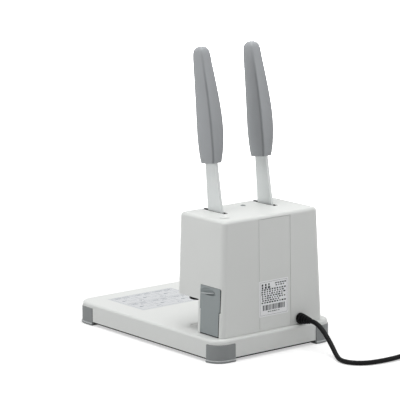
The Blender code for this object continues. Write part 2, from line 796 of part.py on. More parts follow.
def make_head_cover():
    half, front, _ = housing_sizes(head_bottom, HOUSING_WALL + GAP)
    outline = rounded_rectangle(-half, half, front, COLUMN_FRONT - 2 * GAP, HOUSING_CORNER - HOUSING_WALL)
    cover = prism("head_bottom_cover", outline, "Z", head_bottom, head_bottom + HEAD_COVER, white_plastic)
    low, high = head_bottom - OVERRUN, head_bottom + HEAD_COVER + OVERRUN
    cut_rod(cover, STATION_HOLE, (-station_side, STATION_BACK, low), (-station_side, STATION_BACK, high))
    for radius, x, y in drill_holes():
        cut_rod(cover, radius, (x, y, low), (x, y, high), SMALL_SIDES)
    return cover


def drill_holes():
    """The bit's and the two stems' holes in the plates that they pass."""
    holes = [(DRILL_HOLE, station_side, STATION_BACK)]
    for turn in (FOOT_STEM_ANGLE, FOOT_STEM_ANGLE + 180):
        x = station_side + FOOT_STEM_SPREAD * cos(radians(turn))
        y = STATION_BACK + FOOT_STEM_SPREAD * sin(radians(turn))
        holes.append((FOOT_STEM_RADIUS + STEM_CLEARANCE, x, y))
    return holes


# Inner frame
def make_frame_plate(name, side):
    outline = [
        (FRAME_FRONT, frame_bottom), (FRAME_FRONT, frame_top), (FRAME_REAR, frame_top),
        (FRAME_REAR, housing_bottom), (FRAME_COLUMN, housing_bottom), (FRAME_COLUMN, frame_bottom),
    ]
    inner, outer = side * frame_plane, side * (frame_plane + FRAME_THICKNESS)
    plate = prism(name, outline, "X", inner, outer, zinc_steel)
    start, end = inner - side * OVERRUN, outer + side * OVERRUN
    cut_rod(plate, AXLE_RADIUS + GAP, (start, PIVOT_BACK, pivot_height), (end, PIVOT_BACK, pivot_height))
    return plate


def make_cross_plate():
    """The plate that ties the two frame plates together at the rear."""
    half, rear = frame_plane - GAP, FRAME_REAR - CROSS_INSET
    low, high = housing_bottom + CROSS_INSET, frame_top - CROSS_INSET
    plate = box("frame_cross_plate", (-half, rear - FRAME_THICKNESS, low), (half, rear, high), zinc_steel)
    middle = low + (high - low) * CROSS_HOLE_SHARE
    start, end = (0, rear - FRAME_THICKNESS - OVERRUN, middle), (0, rear + OVERRUN, middle)
    return cut_rod(plate, CROSS_HOLE, start, end)


def rod_places(side):
    return ((side * front_rod_side, FRONT_ROD_BACK), (side * rear_rod_side, REAR_ROD_BACK))


def make_guide_plate():
    outline = [
        (-guide_half, GUIDE_FRONT), (guide_half, GUIDE_FRONT),
        (guide_half, GUIDE_REAR), (-guide_half, GUIDE_REAR),
    ]
    plate = prism("guide_plate", outline, "Z", guide_bottom, guide_top, zinc_steel)
    low, high = guide_bottom - OVERRUN, guide_top + OVERRUN
    cut_rod(plate, STATION_HOLE, (-station_side, STATION_BACK, low), (-station_side, STATION_BACK, high))
    for radius, x, y in drill_holes():
        cut_rod(plate, radius, (x, y, low), (x, y, high), SMALL_SIDES)
    for side in (-1, 1):
        for x, y in rod_places(side):
            cut_rod(plate, ROD_RADIUS + GAP, (x, y, low), (x, y, high), ROD_SIDES)
    return plate


def make_top_plate():
    half = [
        (top_arm_inner, TOP_STRIP_FRONT), (top_arm_inner, FRAME_FRONT),
        (top_arm_outer, FRAME_FRONT), (top_arm_outer, TOP_STRIP_REAR),
    ]
    outline = half + mirrored(-1, reversed(half))
    plate = prism("top_guide_plate", outline, "Z", top_plate_bottom, top_plate_top, zinc_steel)
    for side in (-1, 1):
        for x, y in rod_places(side):
            start, end = (x, y, top_plate_bottom - OVERRUN), (x, y, top_plate_top + OVERRUN)
            cut_rod(plate, ROD_RADIUS + GAP, start, end, ROD_SIDES)
    return plate


def make_guide_rods(word, side):
    for place, (x, y) in zip(("front", "rear"), rod_places(side)):
        start, end = (x, y, guide_bottom), (x, y, top_plate_top)
        rod(f"{word}_{place}_guide_rod", ROD_RADIUS, start, end, bright_steel, ROD_SIDES)


def about_axle(x):
    return x, PIVOT_BACK, pivot_height


def make_axle():
    """A pin with a head at its left end and a clip at its right."""
    axle = rod("lever_axle", AXLE_RADIUS, about_axle(-axle_half), about_axle(axle_half), bright_steel)
    inner = hub_outer + GAP
    fuse_rod(axle, CLIP_RADIUS, about_axle(-inner - CLIP_THICKNESS), about_axle(-inner))
    clip = rod("axle_clip", CLIP_RADIUS, about_axle(inner), about_axle(inner + CLIP_THICKNESS), dark_steel)
    start, end = about_axle(inner - OVERRUN), about_axle(inner + CLIP_THICKNESS + OVERRUN)
    return axle, cut_rod(clip, AXLE_RADIUS + GAP, start, end)


# Levers
def lever_point(across, along):
    """A point of the upright lever: across to its back, along from pivot to grip."""
    lean = radians(LEVER_LEAN)
    back = PIVOT_BACK + across * cos(lean) - along * sin(lean)
    return back, pivot_height + across * sin(lean) + along * cos(lean)


def bar_outline(margin, first=None):
    """The bar's outline from the hub up, or from a length along it, with a margin round it."""
    middle = -LEVER_OFFSET
    stations = [
        (LEVER_KNEE, LEVER_KNEE_WIDTH), (GRIP_START, LEVER_NECK_WIDTH), (LEVER_TANG, LEVER_TANG_WIDTH),
    ]
    if first is not None:
        stations = [(first, LEVER_NECK_WIDTH), stations[-1]]
    stations[-1] = (stations[-1][0] + margin, stations[-1][1])
    front = [(middle - width / 2 - margin, along) for along, width in stations]
    rear = [(middle + width / 2 + margin, along) for along, width in stations]
    outline = rear + front[::-1]
    if first is None:
        outline = arc((0, 0), LEVER_HUB, HUB_ARC_START, HUB_ARC_END, 14) + outline
    return [lever_point(across, along) for across, along in outline]


def make_lever_arm(name, side):
    near = side * (lever_plane - LEVER_THICKNESS / 2)
    arm = prism(name, bar_outline(0), "X", near, near + side * LEVER_THICKNESS, painted_steel)
    inner, outer = side * hub_inner, side * hub_outer
    fuse_rod(arm, HUB_RADIUS, (inner, PIVOT_BACK, pivot_height), (outer, PIVOT_BACK, pivot_height))
    start, end = inner - side * OVERRUN, outer + side * OVERRUN
    cut_rod(arm, AXLE_RADIUS + GAP, (start, PIVOT_BACK, pivot_height), (end, PIVOT_BACK, pivot_height))
    return arm


def make_grip(name, side):
    rings = []
    for share, thickness, before, behind in GRIP_SECTIONS:
        along = GRIP_START + share * GRIP_LENGTH
        radius = min(GRIP_CORNER, thickness * GRIP_CORNER_SHARE, (before + behind) * GRIP_CORNER_SHARE)
        outline = rounded_rectangle(
            side * lever_plane - thickness / 2, side * lever_plane + thickness / 2,
            -LEVER_OFFSET - before, -LEVER_OFFSET + behind, radius, 4,
        )
        rings.append([(x, *lever_point(across, along)) for x, across in outline])
    grip = add_object(name, loft_mesh(name, rings), grey_rubber)
    grip.data.shade_smooth()
    grip.data.set_sharp_from_angle(angle=radians(45.0))
    half = LEVER_THICKNESS / 2 + GAP
    pocket = bar_outline(GAP, first=GRIP_START - OVERRUN)
    return cut_prism(grip, pocket, "X", side * lever_plane - half, side * lever_plane + half)


def gear_point(radius, angle):
    """A point of the sector, angle in radians up from the side that faces the rack."""
    return PIVOT_BACK - radius * cos(angle), pivot_height + radius * sin(angle)


def flank_half_angle(radius, pitch_half_angle, pitch):
    """Half the angle that an involute tooth takes at a radius."""
    base = pitch * cos(radians(PRESSURE_ANGLE))
    pressure = radians(PRESSURE_ANGLE)
    here = acos(min(1.0, base / radius))
    return pitch_half_angle + (tan(pressure) - pressure) - (tan(here) - here)


def tooth_flanks(teeth, module, places):
    """Radius and angle of the points round each tooth, for teeth at the given places."""
    pitch = module * teeth / 2
    root = pitch - DEDENDUM_SHARE * module
    tip = pitch + module
    half = TOOTH_SHARE * pi / teeth
    radii = [root, pitch, tip]
    points = []
    for place in places:
        centre = 2 * pi * place / teeth
        spread = [(r, flank_half_angle(r, half, pitch)) for r in radii]
        points += [(r, centre - a) for r, a in spread]
        points += [(r, centre + a) for r, a in reversed(spread)]
    return points


def make_sector_gear(name, side):
    """A toothed sector on the lever's hub, in mesh with the carriage's rack."""
    flanks = tooth_flanks(GEAR_TEETH, MODULE, range(FIRST_TOOTH, LAST_TOOTH + 1))
    rim = [gear_point(radius, angle) for radius, angle in flanks]
    start, end = flanks[-1][1], 2 * pi + flanks[0][1]
    steps = 12
    hub = [gear_point(LEVER_HUB, start + (end - start) * i / steps) for i in range(steps + 1)]
    near = side * gear_inner
    gear = prism(name, rim + hub, "X", near, near + side * GEAR_WIDTH, zinc_steel)
    start, end = near - side * OVERRUN, near + side * (GEAR_WIDTH + OVERRUN)
    return cut_rod(
        gear, HUB_RADIUS + GAP, (start, PIVOT_BACK, pivot_height), (end, PIVOT_BACK, pivot_height)
    )


def make_lever_spring(name, side):
    """The return spring's loops round the hub, with a short leg at each end."""
    first = side * (hub_inner + SPRING_WIRE + GAP)
    count = round(SPRING_TURNS * SPRING_STEPS)
    loops = []
    for i in range(count + 1):
        angle = 2 * pi * i / SPRING_STEPS
        x = first + side * SPRING_PITCH * i / SPRING_STEPS
        y = PIVOT_BACK + SPRING_RADIUS * cos(angle)
        loops.append(Vector((x, y, pivot_height + SPRING_RADIUS * sin(angle))))
    down = loops[0] - Vector((0, 0, SPRING_LEG))
    last = loops[-1] + (loops[-1] - loops[-2]).normalized() * SPRING_LEG
    return tube(name, [down, *loops, last], SPRING_WIRE, 1, dark_steel)


def make_rack(name, side):
    """A straight rack that faces the sector, its gaps set on the sector's teeth at rest."""
    slope = tan(radians(PRESSURE_ANGLE))
    half = TOOTH_SHARE * tooth_pitch / 2
    low = pivot_height + (RACK_FIRST + 0.5) * tooth_pitch - half - dedendum * slope
    high = pivot_height + (RACK_LAST + 0.5) * tooth_pitch + half + dedendum * slope
    root, tip = rack_line - dedendum, rack_line + MODULE
    back = root - RACK_BACK
    outline = [(back, high), (back, low), (root, low)]
    for k in range(RACK_FIRST, RACK_LAST + 1):
        middle = pivot_height + (k + 0.5) * tooth_pitch
        outline += [
            (root, middle - half - dedendum * slope), (tip, middle - half + MODULE * slope),
            (tip, middle + half - MODULE * slope), (root, middle + half + dedendum * slope),
        ]
    near, far = side * gear_inner, side * (gear_inner + GEAR_WIDTH)
    return prism(name, outline, "X", near, far, zinc_steel), low, high


# Drill and press units
def carriage_outline():
    rack_back = rack_line - dedendum - RACK_BACK - GAP
    return [
        (carriage_inner, CARRIAGE_FRONT), (carriage_outer, CARRIAGE_FRONT),
        (carriage_outer, CARRIAGE_TAIL_BACK), (carriage_tail_side, GUIDE_REAR),
        (carriage_waist, GUIDE_REAR), (carriage_waist, CARRIAGE_WAIST_BACK),
        (carriage_step, CARRIAGE_WAIST_BACK - (carriage_waist - carriage_step)),
        (carriage_step, rack_back), (carriage_inner, rack_back),
    ]


def make_carriage(name, side, rack_low, rack_high):
    """The sliding block: a plate on two rods with an upright that carries the rack."""
    outline = mirrored(side, carriage_outline())
    plate = prism(name, outline, "Z", carriage_bottom, carriage_top, cast_aluminium)
    rack_back = rack_line - dedendum - RACK_BACK - GAP
    xs = sorted((side * carriage_inner, side * flange_outer))
    fuse_box(plate, (xs[0], CARRIAGE_FRONT, rack_low), (xs[1], rack_back, rack_high))
    low, high = carriage_bottom - OVERRUN, carriage_top + OVERRUN
    for x, y in rod_places(side):
        cut_rod(plate, ROD_RADIUS + GAP, (x, y, low), (x, y, high), ROD_SIDES)
    return plate


def motor_place():
    reach = FINE_MODULE * (SPINDLE_TEETH + PINION_TEETH) / 2
    angle = radians(PINION_ANGLE)
    return station_side + reach * sin(angle), STATION_BACK + reach * cos(angle)


fine_gear_bottom = carriage_top + FINE_GEAR_LIFT
fine_gear_top = fine_gear_bottom + FINE_GEAR_WIDTH
motor_seat_bottom = fine_gear_top + FINE_GEAR_LIFT
motor_bottom = motor_seat_bottom + MOTOR_SEAT + GAP


def finish_drill_carriage(carriage):
    """Adds the motor's bracket, the bearing's bore and the stems' holes."""
    x, y = motor_place()
    overlap = CARRIAGE_PLATE / 2
    fuse_box(
        carriage, (motor_pillar_inner, PILLAR_BACK, carriage_top - overlap),
        (motor_pillar_outer, PILLAR_BACK + MOTOR_PILLAR, motor_seat_bottom + MOTOR_SEAT),
    )
    fuse_box(
        carriage, (motor_pillar_inner, y - MOTOR_RADIUS / 2, motor_seat_bottom),
        (motor_pillar_outer, PILLAR_BACK + MOTOR_PILLAR / 2, motor_seat_bottom + MOTOR_SEAT),
    )
    cut_rod(carriage, MOTOR_SHAFT + GAP, (x, y, motor_seat_bottom - GAP), (x, y, motor_bottom), SHAFT_SIDES)
    low, high = carriage_bottom - OVERRUN, carriage_top + OVERRUN
    cut_rod(carriage, BEARING_RADIUS + GAP, at_station(1, low), at_station(1, high))
    for radius, hole_x, hole_y in drill_holes()[1:]:
        cut_rod(carriage, radius, (hole_x, hole_y, low), (hole_x, hole_y, high), SHAFT_SIDES)


def at_station(side, z):
    return side * station_side, STATION_BACK, z


def make_spindle():
    chuck_top = carriage_bottom - GAP
    chuck_bottom = chuck_top - CHUCK_HEIGHT
    low, high = at_station(1, chuck_top - GAP), at_station(1, fine_gear_top)
    spindle = rod("spindle", SPINDLE_RADIUS, low, high, bright_steel)
    fuse_rod(spindle, CHUCK_RADIUS, at_station(1, chuck_bottom), at_station(1, chuck_top))
    low, high = at_station(1, chuck_bottom - OVERRUN), at_station(1, fine_gear_top + OVERRUN)
    cut_rod(spindle, SPINDLE_BORE, low, high)
    socket_top = chuck_bottom + BIT_IN_CHUCK + GAP
    cut_rod(spindle, BIT_RADIUS + GAP, at_station(1, chuck_bottom - OVERRUN), at_station(1, socket_top))
    bearing = rod(
        "spindle_bearing", BEARING_RADIUS, at_station(1, carriage_bottom + BEARING_RECESS),
        at_station(1, carriage_top - BEARING_RECESS), bright_steel,
    )
    low, high = at_station(1, carriage_bottom - OVERRUN), at_station(1, carriage_top + OVERRUN)
    cut_rod(bearing, SPINDLE_RADIUS + GAP, low, high)
    tip = head_bottom + BIT_TIP_ABOVE_HEAD
    bit_top = chuck_bottom + BIT_IN_CHUCK
    bit = rod("drill_bit", BIT_RADIUS, at_station(1, tip), at_station(1, bit_top), bright_steel, ROD_SIDES)
    cut_rod(bit, BIT_BORE, at_station(1, tip - OVERRUN), at_station(1, bit_top + OVERRUN), ROD_SIDES)
    return spindle, bearing, bit


def make_fine_gear(name, teeth, place, turn, bore, bottom):
    """A small spur gear about an upright axis, turned so that it meshes."""
    flanks = tooth_flanks(teeth, FINE_MODULE, range(teeth))
    outline = [
        (place[0] + radius * cos(angle + turn), place[1] + radius * sin(angle + turn))
        for radius, angle in flanks
    ]
    gear = prism(name, outline, "Z", bottom, bottom + FINE_GEAR_WIDTH, brass)
    low, high = bottom - OVERRUN, bottom + FINE_GEAR_WIDTH + OVERRUN
    return cut_rod(gear, bore, (*place, low), (*place, high), ROD_SIDES)


def make_drill_drive():
    place = motor_place()
    toward = pi / 2 - radians(PINION_ANGLE)
    gear = make_fine_gear(
        "spindle_gear", SPINDLE_TEETH, (station_side, STATION_BACK), toward,
        SPINDLE_RADIUS + GAP, fine_gear_bottom,
    )
    half_tooth = pi / PINION_TEETH
    pinion = make_fine_gear(
        "motor_pinion", PINION_TEETH, place, toward + pi + half_tooth, MOTOR_SHAFT + GAP, fine_gear_bottom,
    )
    motor_top = motor_bottom + MOTOR_LENGTH
    start, end = (*place, motor_bottom), (*place, motor_top)
    motor = rod("drill_motor", MOTOR_RADIUS, start, end, dark_steel, LARGE_SIDES)
    fuse_rod(motor, MOTOR_SHAFT, (*place, fine_gear_bottom), (*place, motor_bottom + OVERRUN), SHAFT_SIDES)
    return gear, pinion, motor


def make_drill_foot():
    """The black foot that holds the paper down round the bit, on two sliding stems."""
    top = head_bottom - GAP * 2
    bottom = top - DRILL_FOOT_HEIGHT
    start, end = at_station(1, bottom), at_station(1, top)
    foot = rod("drill_foot", DRILL_FOOT_RADIUS, start, end, black_plastic, LARGE_SIDES)
    cut_rod(foot, DRILL_FOOT_BORE, at_station(1, bottom - OVERRUN), at_station(1, top + OVERRUN), ROD_SIDES)
    for _, x, y in drill_holes()[1:]:
        stem_top = carriage_bottom + FOOT_STEM_TOP
        fuse_rod(foot, FOOT_STEM_RADIUS, (x, y, (top + bottom) / 2), (x, y, stem_top), SCREW_SIDES)
    return foot, bottom


def make_press_tools():
    top = carriage_bottom - GAP
    start, end = at_station(-1, top - insulator_height), at_station(-1, top)
    insulator = rod("heater_insulator", INSULATOR_RADIUS, start, end, nylon)
    heater_top = top - insulator_height - GAP
    heater_bottom = heater_top - heater_height
    start, end = at_station(-1, heater_bottom), at_station(-1, heater_top)
    heater = rod("heater_block", HEATER_RADIUS, start, end, cast_aluminium)
    middle = (heater_top + heater_bottom) / 2
    start = (-station_side, STATION_BACK - HEATER_RADIUS - OVERRUN, middle)
    end = (-station_side, STATION_BACK + HEATER_RADIUS + OVERRUN, middle)
    cut_rod(heater, CARTRIDGE_RADIUS + GAP, start, end, SMALL_SIDES)
    start = (-station_side, STATION_BACK - CARTRIDGE_LENGTH / 2, middle)
    end = (-station_side, STATION_BACK + CARTRIDGE_LENGTH / 2, middle)
    cartridge = rod("heater_cartridge", CARTRIDGE_RADIUS, start, end, bright_steel, SMALL_SIDES)
    tip = head_bottom + UPPER_DIE_ABOVE_HEAD
    die_top = heater_bottom - GAP
    shoulder = tip + (die_top - tip) / 2
    die = turned("upper_die", [
        (0, die_top), (DIE_RADIUS, die_top), (DIE_RADIUS, shoulder), (DIE_TIP_RADIUS, tip), (0, tip),
    ], (-station_side, STATION_BACK, 0), brass)
    return insulator, heater, cartridge, die


def make_base_tools():
    pad_top = base_top - PAD_RECESS
    start, end = at_station(1, pad_top - PAD_THICKNESS), at_station(1, pad_top)
    pad = rod("cutting_pad", PAD_RADIUS, start, end, nylon, LARGE_SIDES)
    die_top = base_top + LOWER_DIE_RISE
    start, end = at_station(-1, die_top - LOWER_DIE_DEPTH), at_station(-1, die_top)
    die = rod("lower_die", LOWER_DIE_RADIUS, start, end, brass)
    heater_top = base_top - BASE_WALL - GAP
    low = heater_top - LOWER_HEATER_HEIGHT
    start, end = at_station(-1, low), at_station(-1, heater_top)
    heater = rod("lower_heater_block", LOWER_HEATER_RADIUS, start, end, cast_aluminium)
    start, end = at_station(-1, low - OVERRUN), at_station(-1, heater_top + OVERRUN)
    cut_rod(heater, LOWER_DIE_RADIUS + GAP, start, end)
    return pad, die, heater


# Chip drawer
def drawer_outline(margin):
    """The drawer face in side view, wider above its step."""
    bottom = base_top + DRAWER_BOTTOM
    step = bottom + DRAWER_STEP_HEIGHT
    top = bottom + DRAWER_HEIGHT + margin
    front, rear = DRAWER_FRONT - margin, DRAWER_REAR + margin
    lower = 0 if margin else bottom
    return [
        (front + DRAWER_STEP, lower), (rear - DRAWER_STEP, lower), (rear - DRAWER_STEP, step),
        (rear, step), *arc((rear - DRAWER_CORNER, top - DRAWER_CORNER), DRAWER_CORNER, 0, 90, 4),
        (front, top), (front, step), (front + DRAWER_STEP, step),
    ]


def drawer_face_solid(name, margin, beyond):
    outer = HOUSING_BOTTOM_WIDTH / 2
    mesh = prism_mesh(name, drawer_outline(margin), "X", outer - DRAWER_FACE, outer + beyond)
    return add_object(name, mesh, None)


def make_drawer():
    face = drawer_face_solid("chip_drawer", 0, OVERRUN)
    face.data.materials.append(grey_plastic)
    combine(face, add_object("outside", housing_block(), None), "INTERSECT")
    inner = HOUSING_BOTTOM_WIDTH / 2 - DRAWER_FACE
    front, rear = DRAWER_FRONT + BIN_INSET, DRAWER_REAR - BIN_INSET
    floor = housing_bottom + RAIL_FLOOR + GAP
    top = floor + BIN_HEIGHT
    fuse_box(face, (bin_inner, front, floor), (inner + DRAWER_FACE / 4, rear, top))
    cut_box(
        face, (bin_inner + DRAWER_WALL, front + DRAWER_WALL, floor + DRAWER_WALL),
        (inner - DRAWER_WALL, rear - DRAWER_WALL, top + OVERRUN),
    )
    return combine(face, finger_scoop(), "DIFFERENCE")


def finger_scoop():
    """A half dome that rises from a finger lip, with a shallow bowl below the lip's line."""
    lip = base_top + DRAWER_BOTTOM + DRAWER_HEIGHT - SCOOP_DROP
    middle = (housing_sizes(lip, 0)[0], DRAWER_FRONT + SCOOP_INSET + SCOOP_WIDTH / 2, lip)
    shape = bmesh.new()
    bmesh.ops.create_uvsphere(shape, u_segments=28, v_segments=14, radius=1.0)
    for corner in shape.verts:
        x, y, z = corner.co
        rise = SCOOP_RISE if z > 0 else SCOOP_LIP
        corner.co = Vector(middle) + Vector((x * SCOOP_DEPTH, y * SCOOP_WIDTH / 2, z * rise))
    return add_object("finger_scoop", finish_mesh(shape, "finger_scoop"), None)


def make_drawer_guide():
    """The rail tray that the drawer runs in."""
    front = DRAWER_FRONT + BIN_INSET - GAP
    rear = DRAWER_REAR - BIN_INSET + GAP
    low, floor = housing_bottom, housing_bottom + RAIL_FLOOR
    lip = floor + RAIL_LIP
    outline = [
        (front - RAIL_WALL, low), (rear + RAIL_WALL, low), (rear + RAIL_WALL, lip), (rear, lip),
        (rear, floor), (front, floor), (front, lip), (front - RAIL_WALL, lip),
    ]
    end = HOUSING_BOTTOM_WIDTH / 2 - DRAWER_FACE - GAP
    return prism("drawer_guide", outline, "X", frame_plane + FRAME_THICKNESS + GAP, end, zinc_steel)


# Electrical pieces
def make_control_board():
    half = frame_plane - GAP
    board = box(
        "control_board", (-half, BOARD_BACK, board_low),
        (half, BOARD_BACK + BOARD_THICKNESS, board_high), circuit_green,
    )
    inside = BOARD_BACK + BOARD_THICKNESS / 2
    middle = (board_low + board_high) / 2
    fuse_box(board, (-RELAY_SIZE, BOARD_BACK - RELAY_SIZE, middle), (0, inside, middle + RELAY_SIZE))
    chip_face = BOARD_BACK - CHIP_SIZE / 4
    fuse_box(board, (CHIP_SIZE, chip_face, middle), (2 * CHIP_SIZE, inside, middle + CHIP_SIZE))
    low = middle - RELAY_SIZE
    fuse_box(board, (-RELAY_SIZE, BOARD_BACK - CHIP_SIZE, low - CHIP_SIZE), (RELAY_SIZE, inside, low))
    return board


def make_transformer():
    low = housing_bottom
    high = low + TRANSFORMER_HEIGHT
    core = box(
        "transformer", (transformer_left, TRANSFORMER_FRONT, low),
        (transformer_right, TRANSFORMER_REAR, high), dark_steel,
    )
    middle = (low + high) / 2
    half = COIL_SHARE * TRANSFORMER_HEIGHT / 2
    across = (transformer_left + transformer_right) / 2
    reach = COIL_SHARE * (transformer_right - transformer_left) / 2
    return fuse_box(
        core, (across - reach, TRANSFORMER_FRONT - COIL_PROUD, middle - half),
        (across + reach, TRANSFORMER_REAR + COIL_PROUD, middle + half),
    )


def front_face(z):
    return housing_sizes(z, 0)[1]


def switch_box(margin, proud):
    """The switch body's box, wider than the rocker by margin, out past the face by proud."""
    face = front_face(SWITCH_HEIGHT)
    wide, tall = SWITCH_HALF_WIDTH + margin, SWITCH_HALF_HEIGHT + margin
    return (-wide, face - proud, SWITCH_HEIGHT - tall), (wide, face + SWITCH_DEPTH, SWITCH_HEIGHT + tall)


def make_switch():
    face = front_face(SWITCH_HEIGHT)
    low, high = switch_box(SWITCH_RIM, SWITCH_PROUD)
    bezel = box("power_switch_bezel", low, high, black_plastic)
    rim = SWITCH_RIM * 2
    wide, tall = SWITCH_HALF_WIDTH + rim, SWITCH_HALF_HEIGHT + rim
    fuse_box(
        bezel, (-wide, face - SWITCH_PROUD, SWITCH_HEIGHT - tall),
        (wide, face - GAP * 2, SWITCH_HEIGHT + tall),
    )
    low, high = switch_box(0, OVERRUN)
    cut_box(bezel, low, (high[0], face + SWITCH_POCKET, high[2]))
    pivot = (0, face + ROCKER_DEPTH, SWITCH_HEIGHT)
    half = SWITCH_HALF_HEIGHT - GAP * 2
    tilt = radians(ROCKER_TILT)
    back_half = half * cos(tilt * 2)
    outline = [
        (-ROCKER_DEPTH, -half), (-ROCKER_DEPTH + ROCKER_DISH, 0), (-ROCKER_DEPTH, half),
        (ROCKER_DEPTH, back_half), (ROCKER_DEPTH, -back_half),
    ]
    tilted = [
        (pivot[1] + y * cos(tilt) - z * sin(tilt), pivot[2] + y * sin(tilt) + z * cos(tilt))
        for y, z in outline
    ]
    wide = SWITCH_HALF_WIDTH - GAP
    rocker = prism("power_switch_rocker", tilted, "X", -wide, wide, black_plastic)
    return bezel, rocker, pivot


def make_front_lamp():
    """A round lens in the front face above the switch."""
    height = SWITCH_HEIGHT + LAMP_ABOVE_SWITCH
    return turned("ready_lamp", [
        (0, LAMP_PROUD + GAP), (LAMP_RADIUS / 2, LAMP_PROUD + GAP), (LAMP_FLANGE, LAMP_PROUD / 2),
        (LAMP_FLANGE, GAP * 2), (LAMP_RADIUS, GAP * 2), (LAMP_RADIUS, -LAMP_DEPTH), (0, -LAMP_DEPTH),
    ], (0, front_face(height), height), red_lens, axis="-Y", steps=SMALL_SIDES)


def make_top_button(name, x, y, radius, proud, finish):
    """A low round button or lens on the top face, with a stem through its hole."""
    top = housing_top + GAP
    return turned(name, [
        (0, top + proud), (radius * BUTTON_FLAT_SHARE, top + proud * BUTTON_CROWN_SHARE),
        (radius, top + proud * BUTTON_RIM_SHARE), (radius, top),
        (LAMP_RADIUS, top), (LAMP_RADIUS, ceiling - HOUSING_WALL / 2), (0, ceiling - HOUSING_WALL / 2),
    ], (x, y, 0), finish, steps=SMALL_SIDES)


# Mains cord
def boot_point(distance):
    """A point on the cord's axis as it leaves the rear face, at a distance behind it."""
    rear = housing_sizes(BOOT_HEIGHT, 0)[2]
    return BOOT_SIDE, rear + distance, BOOT_HEIGHT


def make_strain_relief():
    """A tapered, ribbed boot with a neck through the housing and a flange inside it."""
    wall = HOUSING_WALL + GAP
    flange = wall + HOUSING_WALL / 2
    profile = [(0, BOOT_LENGTH), (BOOT_TIP_RADIUS, BOOT_LENGTH)]
    rib = BOOT_LENGTH / (BOOT_RIBS + 1)
    for k in range(BOOT_RIBS, 0, -1):
        at = k * rib
        radius = BOOT_ROOT_RADIUS + (BOOT_TIP_RADIUS - BOOT_ROOT_RADIUS) * at / BOOT_LENGTH
        groove = radius - BOOT_GROOVE
        profile += [
            (radius, at + rib / 4), (groove, at + rib / 6), (groove, at - rib / 6), (radius, at - rib / 4),
        ]
    profile += [
        (BOOT_ROOT_RADIUS, GAP), (BOOT_NECK_RADIUS, GAP), (BOOT_NECK_RADIUS, -wall),
        (BOOT_ROOT_RADIUS, -wall), (BOOT_ROOT_RADIUS, -flange), (0, -flange),
    ]
    return turned("strain_relief", profile, boot_point(0), black_plastic, axis="Y", steps=SMALL_SIDES)


def smooth_points(points, spacing):
    """Evenly spaced points on a smooth curve through the route's own points."""
    dense = []
    ends = [2 * Vector(points[0]) - Vector(points[1])] + [Vector(p) for p in points]
    ends.append(2 * ends[-1] - ends[-2])
    for a, b, c, d in zip(ends, ends[1:], ends[2:], ends[3:]):
        for i in range(ROUTE_STEPS):
            t = i / ROUTE_STEPS
            dense.append(
                0.5 * (2 * b + (c - a) * t + (2 * a - 5 * b + 4 * c - d) * t ** 2
                       + (3 * b - a - 3 * c + d) * t ** 3)
            )
    dense.append(ends[-2])
    lengths = [0.0]
    for a, b in zip(dense, dense[1:]):
        lengths.append(lengths[-1] + (b - a).length)
    count = max(2, round(lengths[-1] / spacing))
    even, k = [], 0
    for i in range(count + 1):
        target = lengths[-1] * i / count
        while k < len(lengths) - 2 and lengths[k + 1] < target:
            k += 1
        span = lengths[k + 1] - lengths[k]
        even.append(dense[k].lerp(dense[k + 1], (target - lengths[k]) / span))
    return even


def tube(name, points, radius, resolution, finish):
    """A round tube with filled caps along a list of points."""
    curve = bpy.data.curves.new(name, "CURVE")
    curve.dimensions = "3D"
    spline = curve.splines.new("POLY")
    spline.points.add(len(points) - 1)
    for point, place in zip(spline.points, points):
        point.co = (*place, 1.0)
    curve.bevel_depth = radius
    curve.bevel_resolution = resolution
    curve.use_fill_caps = True
    curve.materials.append(finish)
    made = bpy.data.objects.new(name, curve)
    parts.objects.link(made)
    return made


def coil_points():
    """The coiled lead: spirals in on the lower layer, climbs, and out again on the upper."""
    swing = COIL_PITCH * COIL_TURNS / COIL_LAYERS
    outer = COIL_MEAN_RADIUS + swing / 2
    total = round(COIL_TURNS * COIL_STEPS)
    climb = COIL_STEPS / 4
    points = []
    for i in range(total + 1):
        turns = i / COIL_STEPS
        drawn_in = COIL_PITCH * min(turns, COIL_TURNS - turns)
        angle = radians(COIL_START_ANGLE) - 2 * pi * turns
        rise = min(1.0, max(0.0, (i - total / 2 + climb) / (2 * climb)))
        height = CORD_RADIUS + COIL_LIFT + COIL_PITCH * (3 - 2 * rise) * rise ** 2
        radius = outer - drawn_in
        points.append(Vector((
            COIL_CENTRE[0] + radius * cos(angle), COIL_CENTRE[1] + radius * sin(angle), height,
        )))
    lead_in = (points[0] - points[1]).normalized()
    lead_in.z = 0
    return [points[0] + lead_in * COIL_LEAD] + points + coil_tail(points[-1], points[-1] - points[-2])


def coil_tail(start, along):
    """The free end turns away from the coil, comes down to the plug's height and runs straight."""
    heading = Vector((along.x, along.y, 0)).normalized()
    outward = Vector((-heading.y, heading.x, 0))
    drop = start.z - PLUG_THICKNESS / 2 - GAP
    tail = []
    for k in range(1, COIL_TAIL_STEPS + 1):
        share = k / COIL_TAIL_STEPS
        turn = radians(COIL_TAIL_TURN) * share
        place = start + COIL_TAIL_RADIUS * (heading * sin(turn) + outward * (1 - cos(turn)))
        place.z = start.z - drop * (3 - 2 * share) * share ** 2
        tail.append(place)
    turn = radians(COIL_TAIL_TURN)
    straight = heading * cos(turn) + outward * sin(turn)
    return tail + [tail[-1] + straight * COIL_LEAD]


def least_self_gap(points, diameter):
    """The least clear distance between turns, leaving out each point's own neighbours."""
    apart = COIL_STEPS // 2
    least = min(
        (points[i] - points[j]).length
        for i in range(len(points)) for j in range(i + apart, len(points))
    )
    return least - diameter


